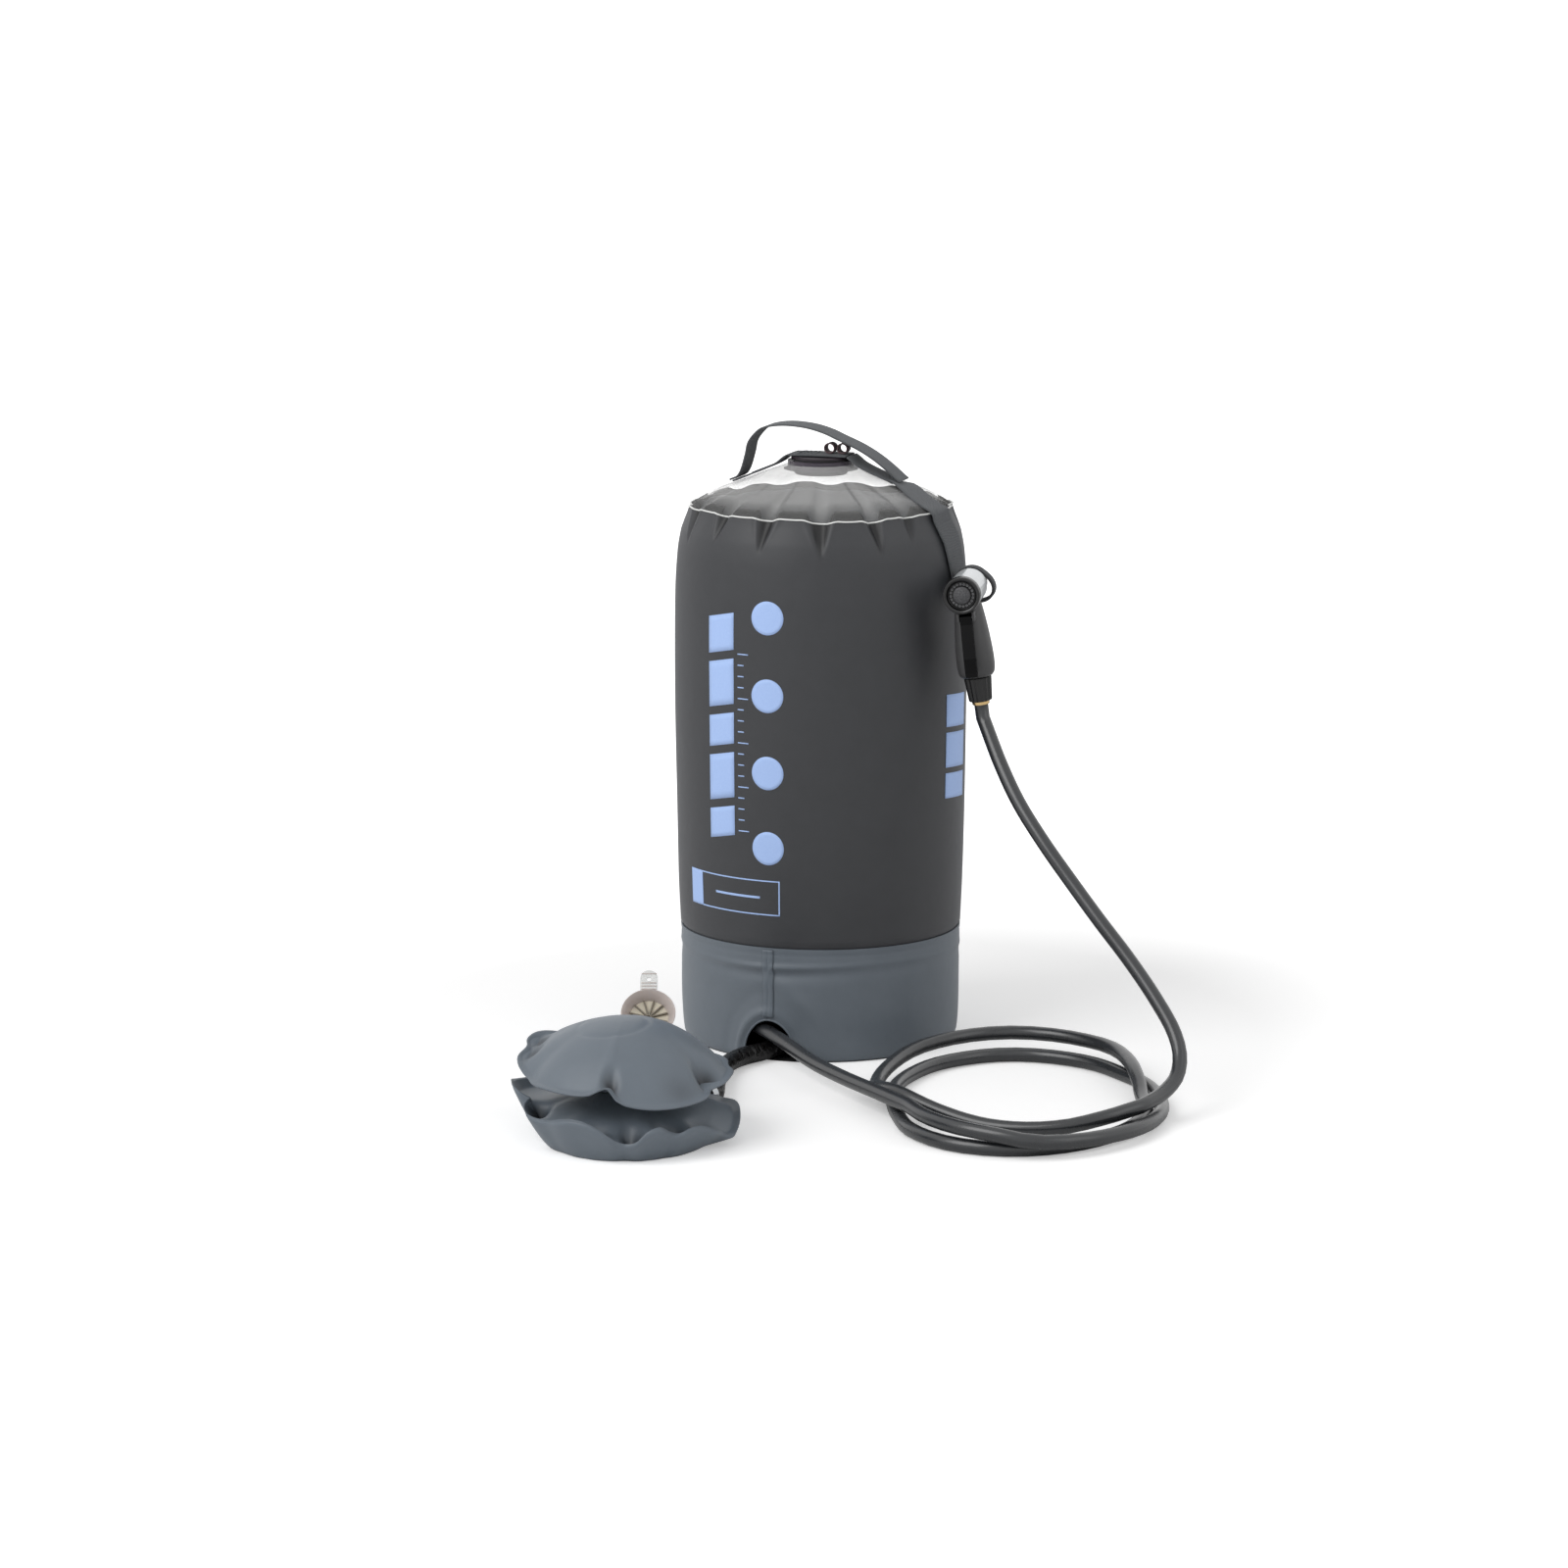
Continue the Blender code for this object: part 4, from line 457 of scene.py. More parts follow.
def curve_mesh(name, curve):
    """The shape of a curve, as a bmesh."""
    item = bpy.data.objects.new(name + "_line", curve)
    bpy.context.scene.collection.objects.link(item)
    mesh = mesh_now(item)
    bpy.data.objects.remove(item)
    bm = bmesh.new()
    bm.from_mesh(mesh)
    bpy.data.meshes.remove(mesh)
    return bm


def tube_mesh(name, points, radius, resolution=6, taper=None):
    """A round tube along points."""
    curve = bpy.data.curves.new(name, 'CURVE')
    curve.dimensions = '3D'
    spline = curve.splines.new('POLY')
    spline.points.add(len(points) - 1)
    for k, (control, point) in enumerate(zip(spline.points, points)):
        control.co = (*point, 1)
        control.radius = taper(k) if taper else 1.0
    curve.bevel_depth = radius
    curve.bevel_resolution = resolution
    curve.use_fill_caps = True
    return curve_mesh(name, curve)


def smooth_curve(route, fine=24):
    """Points close together on a smooth curve through the route's points."""
    points = [Vector(point) for point in route]
    ends = [points[0] * 2 - points[1]] + points + [points[-1] * 2 - points[-2]]
    curve = []
    for p0, p1, p2, p3 in zip(ends, ends[1:], ends[2:], ends[3:]):
        t1 = (p1 - p0).length ** 0.5
        t2 = t1 + (p2 - p1).length ** 0.5
        t3 = t2 + (p3 - p2).length ** 0.5
        for k in range(fine):
            t = t1 + (t2 - t1) * k / fine
            a1 = p0.lerp(p1, t / t1)
            a2 = p1.lerp(p2, (t - t1) / (t2 - t1))
            a3 = p2.lerp(p3, (t - t2) / (t3 - t2))
            curve.append(a1.lerp(a2, t / t2).lerp(a2.lerp(a3, (t - t1) / (t3 - t1)),
                                                  (t - t1) / (t2 - t1)))
    curve.append(points[-1])
    return curve


def even_points(curve, step):
    """Points at even steps along a curve, both ends included."""
    lengths = [0.0]
    for a, b in zip(curve, curve[1:]):
        lengths.append(lengths[-1] + (b - a).length)
    count = max(2, round(lengths[-1] / step))
    picked = []
    index = 0
    for k in range(count + 1):
        target = lengths[-1] * k / count
        while index < len(curve) - 2 and lengths[index + 1] < target:
            index += 1
        span = lengths[index + 1] - lengths[index]
        picked.append(curve[index].lerp(curve[index + 1], (target - lengths[index]) / span))
    return picked


def run_length(points):
    """The length of a line of points."""
    return sum((b - a).length for a, b in zip(points, points[1:]))


def cubic(t, v1, v2, m1, m2):
    """A smooth value at a share t of the way from v1 to v2, with slopes m1 and m2 there."""
    return ((2 * t ** 3 - 3 * t ** 2 + 1) * v1 + (t ** 3 - 2 * t ** 2 + t) * m1
            + (3 * t ** 2 - 2 * t ** 3) * v2 + (t ** 3 - t ** 2) * m2)


def hump(x, middle, width):
    """A smooth hump, 1 high at its middle."""
    return math.exp(-((x - middle) / width) ** 2)


def polar(reach, azimuth, height):
    """A point by its reach, its azimuth in degrees from the front to the right, and its height."""
    turn = math.radians(azimuth)
    return Vector((reach * math.sin(turn), -reach * math.cos(turn), height))


# %% [markdown]
# The shower hose is one real hose, about 2.2 m long and 10 mm thick. It leaves the elbow under
# the tank, comes out of the arch, lies twice round in an open coil and rises to the hand shower.
# It is stiff vinyl, so the loops are wide and lean on each other where they cross. Its route
# repeats the CAD model's, with more points on each turn.

# %% The shower hose's route
HOSE_RADIUS = 0.0050
COIL_CENTRE = (0.1350, -0.2150)
COIL_STATIONS = (
    (-44, 0.1050, 0.0168), (-20, 0.1300, 0.0166), (-9, 0.1385, 0.0158), (3, 0.1430, 0.0122),
    (30, 0.1250, 0.0095), (60, 0.1045, 0.0070), (90, 0.0945, 0.0056), (130, 0.0995, 0.0052),
    (155, 0.1150, 0.0052), (180, 0.1240, 0.0052), (203, 0.1140, 0.0052), (228, 0.0975, 0.0052),
    (252, 0.0885, 0.0052), (275, 0.0860, 0.0052), (300, 0.0955, 0.0052), (320, 0.1145, 0.0052),
    (340, 0.1310, 0.0052), (360, 0.1330, 0.0052), (390, 0.1130, 0.0052), (420, 0.0930, 0.0052),
    (450, 0.0830, 0.0062), (462, 0.0840, 0.0104), (474, 0.0880, 0.0146), (490, 0.1000, 0.0168),
    (512, 0.1250, 0.0168), (540, 0.1430, 0.0165), (566, 0.1300, 0.0150), (592, 0.1110, 0.0105),
    (615, 0.1005, 0.0078), (632, 0.0950, 0.0134), (650, 0.0880, 0.0168), (672, 0.0790, 0.0110),
    (700, 0.0775, 0.0056), (722, 0.0835, 0.0056), (738, 0.0915, 0.0085), (750, 0.0970, 0.0125),
    (763, 0.1010, 0.0160),
)
OUTLET_ROUTE = (
    (-0.0520, -0.0620, 0.0215), (-0.0400, -0.0837, 0.0214), (-0.0253, -0.1100, 0.0183),
    (-0.0047, -0.1553, 0.0150), (0.0153, -0.1961, 0.0148), (0.0375, -0.2400, 0.0160),
)
RISER_ROUTE = (
    (0.2290, -0.2590, 0.0205), (0.2390, -0.2420, 0.0275), (0.2418, -0.2300, 0.0385),
    (0.2385, -0.2190, 0.0520), (0.2265, -0.2030, 0.0720), (0.2094, -0.1850, 0.0950),
    (0.1902, -0.1680, 0.1181), (0.1715, -0.1510, 0.1416), (0.1532, -0.1350, 0.1656),
    (0.1369, -0.1180, 0.1897), (0.1250, -0.1010, 0.2130),
)
ELBOW_REACH = 0.0200
WATER_PORT = Vector((-0.0735, -0.0237, 0.0215))
WATER_HEADING = math.radians(-60.8)
GRIP_AXIS = 0.0220
HOSE_TOP = -0.0807


def coil_station(angle):
    """The coil's reach and height at an angle, smooth through its stations."""
    last = len(COIL_STATIONS) - 1
    i = 0
    while i < last - 1 and COIL_STATIONS[i + 1][0] < angle:
        i += 1

    def slope(j, column):
        a, b = COIL_STATIONS[max(j - 1, 0)], COIL_STATIONS[min(j + 1, last)]
        return (b[column] - a[column]) / (b[0] - a[0])

    a, b = COIL_STATIONS[i], COIL_STATIONS[i + 1]
    span = b[0] - a[0]
    return [cubic((angle - a[0]) / span, a[column], b[column], slope(i, column) * span,
                  slope(i + 1, column) * span) for column in (1, 2)]


def coil_point(angle):
    """A point of the coil, by its angle from the front toward the right."""
    reach, height = coil_station(angle)
    turn = math.radians(angle)
    return Vector((COIL_CENTRE[0] + reach * math.sin(turn), COIL_CENTRE[1] - reach * math.cos(turn),
                   max(height, HOSE_RADIUS + 0.0001)))


def heading(angle):
    """A level direction."""
    return Vector((math.cos(angle), math.sin(angle), 0))


first_angle, last_angle = COIL_STATIONS[0][0], COIL_STATIONS[-1][0]
COIL_STEP = 6
coil_steps = round((last_angle - first_angle) / COIL_STEP)
coil = [coil_point(first_angle + (last_angle - first_angle) * k / coil_steps)
        for k in range(coil_steps + 1)]
way_in = (coil[1] - coil[0]).normalized()
way_out = (coil[-1] - coil[-2]).normalized()
water_way = heading(WATER_HEADING)
hose_start = WATER_PORT + water_way * (ELBOW_REACH + GAP)
hose_top = TANK.inverted() @ HANDSET @ Vector((0, GRIP_AXIS, HOSE_TOP))
top_way = HANDSET_TURN @ Vector((0, 0, 1))
stub = 2 * HOSE_RADIUS
outlet = smooth_curve([hose_start + water_way * stub, *OUTLET_ROUTE, coil[0] - way_in * stub])
riser = smooth_curve([coil[-1] + way_out * stub, *RISER_ROUTE, hose_top - top_way * stub])
HOSE_STEP = 0.007
hose_line = ([hose_start] + even_points(outlet, HOSE_STEP) + coil
             + even_points(riser, HOSE_STEP) + [hose_top])
hose_line = [point + AXIS for point in hose_line]
hose_length = run_length(hose_line)
print("shower hose: %.3f m, %d points" % (hose_length, len(hose_line)))

# %% [markdown]
# The hose crosses one joint: the hand shower slides out of its sling. The rising stretch has to
# bend with it; here the hose is one mesh fixed in place, on no body.

# %% The shower hose
shower_hose = settle("shower_hose", tube_mesh("shower_hose", hose_line, HOSE_RADIUS), HOSE_VINYL,
                     None, ("hose_outlet", "hose_coil", "hose_riser"), sharp=50)
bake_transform(shower_hose)
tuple(hose_line[0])

# %% [markdown]
# The air hose is 13 mm soft vinyl. It lies on the ground, under the shower hose at the arch, and
# its wall has wrinkled a little on the inside of its bend.

# %% The air hose
AIR_RADIUS = 0.0065
AIR_PORT = Vector((0.0160, -0.0340, 0.0100))
AIR_HEADING = math.radians(-135.0)
AIR_ROUTE = (
    (-0.0130, -0.0628, 0.0084), (-0.0290, -0.0788, 0.0070), (-0.0407, -0.0905, 0.0068),
    (-0.0561, -0.1080, 0.0070), (-0.0655, -0.1330, 0.0075), (-0.0690, -0.1650, 0.0090),
    (-0.0705, -0.1950, 0.0115),
)
OUTLET_TURN = math.radians(140.0)
outward = Vector((math.sin(OUTLET_TURN), -math.cos(OUTLET_TURN), 0))
air_way = heading(AIR_HEADING)
air_start = AIR_PORT + air_way * (ELBOW_REACH + GAP)
AIR_OUTLET = Vector((0, 0, 0.0130))
air_end = PUMP_CENTRE + AIR_OUTLET + outward * 0.0760
air_curve = smooth_curve([air_start + air_way * 2 * AIR_RADIUS, *AIR_ROUTE,
                          air_end + outward * 2 * AIR_RADIUS])
air_line = [point + AXIS for point in [air_start] + even_points(air_curve, 0.0045) + [air_end]]


def wrinkle(index):
    """A slightly uneven thickness along the air hose."""
    return 1.0 - 0.035 * (0.5 + 0.5 * math.sin(index * 2.4)) * (0.5 + 0.5 * math.sin(index * 0.7))


air_hose = settle("air_tube", tube_mesh("air_tube", air_line, AIR_RADIUS, 6, wrinkle), AIR_VINYL,
                  "tank", ("air_hose",), sharp=60)
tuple(air_line[0])
run_length(air_line)
print("air hose: %.3f m" % run_length(air_line))


# %% [markdown]
# The tank is a welded tube of coated fabric. Its wall is nearly straight, leans in at the
# shoulder, and puckers where it is welded to the flat clear film: the longer edge of the fabric
# has to be gathered into the shorter one. Each pucker is a shallow pleat that fades downward.

# %% The tank's surface
SEAM_HEIGHT = 0.3822
WALL = (
    (0.0928, 0.3822), (0.0942, 0.3778), (0.0968, 0.3712), (0.0992, 0.3642), (0.1016, 0.3500),
    (0.1034, 0.3200), (0.1035, 0.2500), (0.1027, 0.1750), (0.1016, 0.1150), (0.1001, 0.0828),
)
# Each pucker: its azimuth from the front in degrees, its depth, its half width in degrees, how
# far it runs down in metres, and how far its tip leans sideways in degrees
PUCKERS = (
    (-71, 0.0040, 3.6, 0.022, 2.0), (-47, 0.0048, 3.0, 0.019, -2.0),
    (-24, 0.0056, 3.4, 0.023, -1.5), (-0.5, 0.0062, 4.0, 0.024, 0.5),
    (23, 0.0054, 3.2, 0.024, 2.0), (41, 0.0036, 3.2, 0.018, -1.5),
    (62, 0.0034, 3.8, 0.018, 1.0), (86, 0.0034, 3.6, 0.020, 0.0),
    (108, 0.0026, 3.8, 0.022, 2.0), (131, 0.0020, 4.6, 0.020, -2.0),
    (152, 0.0018, 5.4, 0.024, 1.0), (176, 0.0020, 5.0, 0.022, -1.0),
    (200, 0.0018, 5.2, 0.024, 2.0), (224, 0.0020, 4.6, 0.020, -2.0),
    (246, 0.0026, 4.2, 0.023, 0.0), (267, 0.0034, 3.6, 0.021, 1.0),
)


def round_turn(angle):
    """An angle in degrees, from -180 to 180."""
    return (angle + 180) % 360 - 180


def pucker(azimuth, below=0.0, widen=1.0):
    """How deep the fabric is drawn in at an azimuth and a distance below the seam, in metres.

    A pucker is a shallow pleat: flat in its middle with steep sides, and pointed at its foot."""
    depth = 0.0
    for centre, deep, half, run, lean in PUCKERS:
        left = 1 - min(1.0, below / run)
        if left <= 0:
            continue
        width = half * widen * (0.16 + 0.84 * left)
        offset = round_turn(azimuth - centre - lean * (1 - left)) / width
        pleat = math.exp(-abs(offset) ** 3.2)
        shoulder = 0.10 * hump(abs(offset), 1.55, 0.42)
        depth += deep * left ** 0.8 * (pleat - shoulder)
    return depth


def seam_drop(azimuth):
    """How far the seam dips below its mean height, in metres."""
    slow = 0.0006 * math.sin(math.radians(azimuth * 3 + 40)) + 0.0004 * math.sin(
        math.radians(azimuth * 7))
    return 0.38 * pucker(azimuth, 0.0, 1.2) + slow


def profile_radius(height, outline):
    """The radius of an outline of (radius, height) at a height, on a smooth line."""
    if height >= outline[0][1]:
        return outline[0][0]
    for k in range(len(outline) - 1):
        (r1, z1), (r2, z2) = outline[k], outline[k + 1]
        if height >= z2:
            r0, z0 = outline[max(k - 1, 0)]
            r3, z3 = outline[min(k + 2, len(outline) - 1)]
            span = z1 - z2
            return cubic((z1 - height) / span, r1, r2, (r2 - r0) / (z0 - z2) * span,
                         (r3 - r1) / (z1 - z3) * span)
    return outline[-1][0]


def wall_radius(azimuth, height):
    """The tank wall's outer radius, with its puckers and slow waves."""
    below = SEAM_HEIGHT - height
    radius = profile_radius(height, WALL)
    radius -= pucker(azimuth, max(below, 0.0))
    slow = math.sin(math.radians(azimuth * 2 + 30)) * math.sin(height * 19)
    slow += 0.6 * math.sin(math.radians(azimuth * 5 - 40)) * math.sin(height * 41 + 1)
    return radius + 0.00022 * slow * min(1.0, max(0.0, (height - 0.083) / 0.03))


def on_tank(azimuth, height, proud=0.0):
    """A point on the tank's wall, with azimuth in degrees from the front toward the right."""
    return AXIS + polar(wall_radius(azimuth, height) + proud, azimuth, height)


# %% The tank wall
SIDES = 480
OPEN_ROWS, OPEN_FOOT = 0.88, 0.0826
TUCK_RADIUS, TUCK_HEIGHT, TUCK_FOOT = 0.0976, 0.0822, 0.0367


def wall_place(u, v):
    """A point of the tank wall: most rows lie above the skirt, the last ones are tucked in."""
    azimuth = 360 * u - 180
    if v < OPEN_ROWS:
        top = SEAM_HEIGHT - seam_drop(azimuth)
        return on_tank(azimuth, top - (top - OPEN_FOOT) * (v / OPEN_ROWS) ** 1.5)
    share = (v - OPEN_ROWS) / (1 - OPEN_ROWS)
    return AXIS + polar(TUCK_RADIUS, azimuth, TUCK_HEIGHT - (TUCK_HEIGHT - TUCK_FOOT) * share)


tank_shell = settle("tank_shell", laid_grid(SIDES, 130, wall_place, closed=True), TANK_FABRIC,
                    "tank", ("tank_wall",))
modify(tank_shell, 'SOLIDIFY', thickness=0.0009, offset=-1.0)


def pucker_shade(point):
    """How much painted shade a pucker gets at a point of the tank's wall."""
    out = point - AXIS
    azimuth = math.degrees(math.atan2(out.x, -out.y))
    below = SEAM_HEIGHT - seam_drop(azimuth) - point.z
    return 1.25 * pucker(azimuth, max(below, 0.0)) / 0.0045


# Painted shade in the puckers.
shade_folds(tank_shell, pucker_shade)
print("tank shell:", len(tank_shell.data.vertices), "points")


def liner_place(u, v):
    """A point of the wall's pale inner coat, which shows through the clear top."""
    azimuth = 360 * u - 180
    top = SEAM_HEIGHT - seam_drop(azimuth) - 0.0004
    return on_tank(azimuth, top - 0.090 * v, -0.0012)


liner = settle("tank_inner_coat", laid_grid(240, 24, liner_place, closed=True), INNER_COAT, "tank")
modify(liner, 'SOLIDIFY', thickness=0.0002, offset=0.0)

# %% [markdown]
# The clear top is a flat disc of film pushed up by the air in the tank. It leaves the port's
# rim, bows over, and takes the same puckers at its weld. Through it the eye meets the pale inner
# coat of the wall, so the tank has to be truly hollow.

# %% The clear top
DOME = (
    (0.4115, 0.0238), (0.4058, 0.0400), (0.3993, 0.0560), (0.3948, 0.0680), (0.3903, 0.0800),
    (0.3862, 0.0880), (0.3824, 0.0926),
)


def dome_height(radius):
    """The film's height over a radius, before its ripples."""
    for (z1, r1), (z2, r2) in zip(DOME, DOME[1:]):
        if radius <= r2:
            return z1 + (z2 - z1) * (radius - r1) / (r2 - r1)
    return DOME[-1][0]


def film_point(share, azimuth, sink=0.0):
    """A point of the film, from the port at share 0 to the weld at share 1."""
    reach = DOME[-1][1] - DOME[0][1]
    radius = DOME[0][1] + (reach - 0.92 * pucker(azimuth)) * share
    height = dome_height(DOME[0][1] + reach * share) - seam_drop(azimuth) * share ** 9
    crease = pucker(azimuth, 0.0, 0.8) * share ** 6 * (1 - share) * 3.0
    bulge = 0.0011 * hump(share, 0.80, 0.14)
    swell = 0.5 - 0.5 * math.cos(math.radians(2 * (azimuth - 106)))
    wave = 0.0003 * math.sin(math.radians(azimuth * 5 + 15)) * math.sin(math.pi * share)
    return AXIS + polar(radius, azimuth, height - crease + bulge * swell + wave - sink)


film = settle("clear_film_top", laid_grid(SIDES, 48, lambda u, v: film_point(v, 360 * u - 180),
                                          closed=True), CLEAR_FILM, "tank",
              ("clear_top",))


def film_glare(point):
    """How much painted reflection whitens the film at a point: none by the weld, most where it bows
    up to the port.
    """
    reach = DOME[-1][1] - DOME[0][1]
    share = (math.hypot(point.x - AXIS.x, point.y - AXIS.y) - DOME[0][1]) / reach
    return (0.94 - share) / 0.20


# The film's painted reflection, stored in its "shade" attribute.
shade_folds(film, film_glare)
modify(film, 'SOLIDIFY', thickness=0.0005, offset=-1.0)


def allowance_place(u, v):
    """A point of the fabric's welded edge, which shows through the film as dark scallops; its
    near-black, unreflecting coat is painted shade.
    """
    azimuth = 360 * u - 180
    gathered = min(1.0, max(0.0, pucker(azimuth, 0.0, 1.35) / 0.0036))
    deepest = 0.978 - 0.105 * (1 - gathered) ** 0.7
    return film_point(deepest + (0.997 - deepest) * v, azimuth, 0.0012)


allowance = settle("weld_allowance", laid_grid(SIDES, 8, allowance_place, closed=True), WELD_EDGE_SHADE_COAT,
                   "tank")
modify(allowance, 'SOLIDIFY', thickness=0.0004, offset=-1.0)

weld = [on_tank(a, SEAM_HEIGHT - seam_drop(a), 0.0001) + Vector((0, 0, 0.0003))
        for a in (360 * k / SIDES for k in range(SIDES))]


def weld_place(u, v):
    """A point of the weld bead: a small round section swept along the seam."""
    centre = weld[round(u * SIDES) % SIDES]
    out = ((centre - AXIS) * Vector((1, 1, 0))).normalized()
    turn = math.tau * v
    return centre + out * (0.0007 * math.cos(turn)) + Vector((0, 0, 0.0006 * math.sin(turn)))


settle("weld_bead", laid_grid(SIDES, 8, weld_place, closed=True), WELD_LINE, "tank",
       ("top_weld",))

# %% [markdown]
# The prints are screen ink on the fabric: four round dots that mark the water's level, and plain
# blocks, bars and a panel. Each is drawn flat, in metres along the wall and up, then laid on the
# wall's surface a hair proud of it, as a layer of ink is.

# %% Prints
PRINT_RADIUS = 0.1033


def lay_print(name, bm, azimuth, height):
    """Wrap a flat print, drawn in metres about its middle, onto the tank wall."""
    for vert in bm.verts:
        turn = azimuth + math.degrees(vert.co.x / PRINT_RADIUS)
        vert.co = on_tank(turn, height + vert.co.y, 0.00022)
    piece = settle(name, bm, PRINT_INK, "tank")
    modify(piece, 'SOLIDIFY', thickness=0.00012, offset=1.0)


def bar_print(name, x1, x2, y1, y2, azimuth, height, cuts=5, slant=0.0):
    """A print with straight edges, whose right side may stand higher than its left."""
    bm = bmesh.new()
    bm.faces.new([bm.verts.new((x, y, 0)) for x, y in (
        (x1, y1), (x2, y1 + slant), (x2, y2 + slant), (x1, y2))])
    bmesh.ops.triangulate(bm, faces=bm.faces)
    bmesh.ops.subdivide_edges(bm, edges=bm.edges, cuts=cuts, use_grid_fill=True)
    lay_print(name, bm, azimuth, height)


for k, height in enumerate((0.3153, 0.2609, 0.2065, 0.1532)):
    bm = bmesh.new()
    bmesh.ops.create_circle(bm, cap_ends=True, cap_tris=True, segments=64, radius=0.0118)
    bmesh.ops.subdivide_edges(bm, edges=[e for e in bm.edges if len(e.link_faces) == 2], cuts=4)
    lay_print("level_dot_%d" % (k + 1), bm, -21.0, height)

# %% [markdown]
# Beside the dots runs a column of plain slanted blocks with short ticks next to it, like the
# scale of a water level. Blocks of different lengths keep it from looking like a grid.

# %% The column of blocks
COLUMN_AZIMUTH, COLUMN_LOW, BLOCK_HALF = -42.0, 0.1560, 0.0115
for k, (low, length) in enumerate(((0.000, 0.021), (0.027, 0.032), (0.065, 0.022), (0.093, 0.032),
                                   (0.131, 0.026))):
    bar_print("level_block_%d" % (k + 1), -BLOCK_HALF, BLOCK_HALF, -length / 2, length / 2,
              COLUMN_AZIMUTH, COLUMN_LOW + low + length / 2, slant=0.0045)
TICK_AZIMUTH, TICK_LOW, TICK_PITCH, LONG_TICK, SHORT_TICK = -31.4, 0.1640, 0.0078, 0.0085, 0.0050
for k in range(17):
    reach = SHORT_TICK if k % 4 else LONG_TICK
    inset = math.degrees((LONG_TICK - reach) / 2 / PRINT_RADIUS)
    bar_print("level_tick_%02d" % (k + 1), -reach / 2, reach / 2, -0.0004, 0.0004,
              TICK_AZIMUTH - inset, TICK_LOW + TICK_PITCH * k, cuts=2)

# %% The panel and the side blocks
PANEL_WIDTH, PANEL_HEIGHT, PANEL_LINE = 0.0840, 0.0250, 0.0009
half_w, half_h = PANEL_WIDTH / 2, PANEL_HEIGHT / 2
PANEL_AZIMUTH, PANEL_MIDDLE = -39.5, 0.1178
for name, edges in {
    "panel_top": (-half_w, half_w, half_h - PANEL_LINE, half_h),
    "panel_bottom": (-half_w, half_w, -half_h, -half_h + PANEL_LINE),
    "panel_right": (half_w - PANEL_LINE, half_w, -half_h, half_h),
    "panel_block": (-half_w, -half_w + 0.0150, -half_h, half_h),
    "panel_rule": (-0.0120, 0.0270, -0.0008, 0.0008),
}.items():
    bar_print(name, *edges, PANEL_AZIMUTH, PANEL_MIDDLE, cuts=12)
SIDE_AZIMUTH, SIDE_MIDDLE = 66.0, 0.2180
for k, (low, high) in enumerate(((-0.0370, -0.0190), (-0.0150, 0.0100), (0.0140, 0.0370))):
    bar_print("side_block_%d" % (k + 1), -0.0140, 0.0200, low, high, SIDE_AZIMUTH, SIDE_MIDDLE,
              slant=-0.003)

# %% [markdown]
# The skirt is a band of thinner grey fabric welded round the tank's foot. It stands on its hem,
# has an arch for the hoses at the front, and a tape over the seam where its ends meet. A soft
# ridge runs below the weld, because the fabric relaxes there.

# %% The skirt
SKIRT = (
    (0.1000, 0.0818), (0.0998, 0.0760), (0.0995, 0.0525), (0.0990, 0.0240), (0.0978, 0.0050),
    (0.0960, 0.0013), (0.0935, 0.0),
)
ARCH_AZIMUTH = -21.5
ARCH_HALF_WIDTH = 0.0205
ARCH_TOP = 0.0300
ARCH_REACH = 0.099
SKIRT_TOP, HEM_HEIGHT, HEM_START = 0.0818, 0.0013, 0.94


def skirt_radius(azimuth, height):
    """The skirt's outer radius, with its ridges, its seam tape's hollow and the arch's flare."""
    radius = profile_radius(height, SKIRT)
    offset = round_turn(azimuth - ARCH_AZIMUTH)
    side = math.radians(offset) * radius
    radius -= 0.00035 * hump(height, 0.0772, 0.0012)
    ridge_height = 0.0690 + 0.0012 * math.sin(math.radians(azimuth * 3))
    near = 0.25 + 0.75 * hump(side, 0, 0.045)
    ridge = hump(height, ridge_height, 0.0021) - 0.9 * hump(height, ridge_height - 0.0052, 0.0040)
    radius += 0.0017 * ridge * near * min(1.0, abs(side) / 0.005)
    over = math.hypot(side / (ARCH_HALF_WIDTH + 0.005), height / (ARCH_TOP + 0.006))
    left = 0.6 + 0.4 * math.tanh(-side / 0.006)
    radius += (0.0022 * hump(over, 0.98, 0.10) - 0.0007 * hump(over, 1.38, 0.16)) * left
    slope = (side - 0.012) * 0.62 + (height - 0.052) * 0.78
    radius += 0.0009 * hump(slope, 0, 0.006) * hump(side, 0.020, 0.016)
    slow = math.sin(math.radians(azimuth * 4 + 70)) * math.sin(height * 60)
    slow += math.sin(math.radians(azimuth * 9 + 10)) * 0.5 * math.sin(height * 95 + 1)
    return radius + 0.00025 * slow * min(1.0, (0.0818 - height) / 0.02)


def skirt_place(u, v):
    """A point of the skirt's outer face, from the weld down to the hem."""
    azimuth = 360 * u - 180
    if v < HEM_START:
        height = SKIRT_TOP - (SKIRT_TOP - HEM_HEIGHT) * v / HEM_START
        return AXIS + polar(skirt_radius(azimuth, height), azimuth, height)
    share = (v - HEM_START) / (1 - HEM_START)
    return AXIS + polar(0.0960 - 0.0025 * share, azimuth, HEM_HEIGHT * (1 - share))


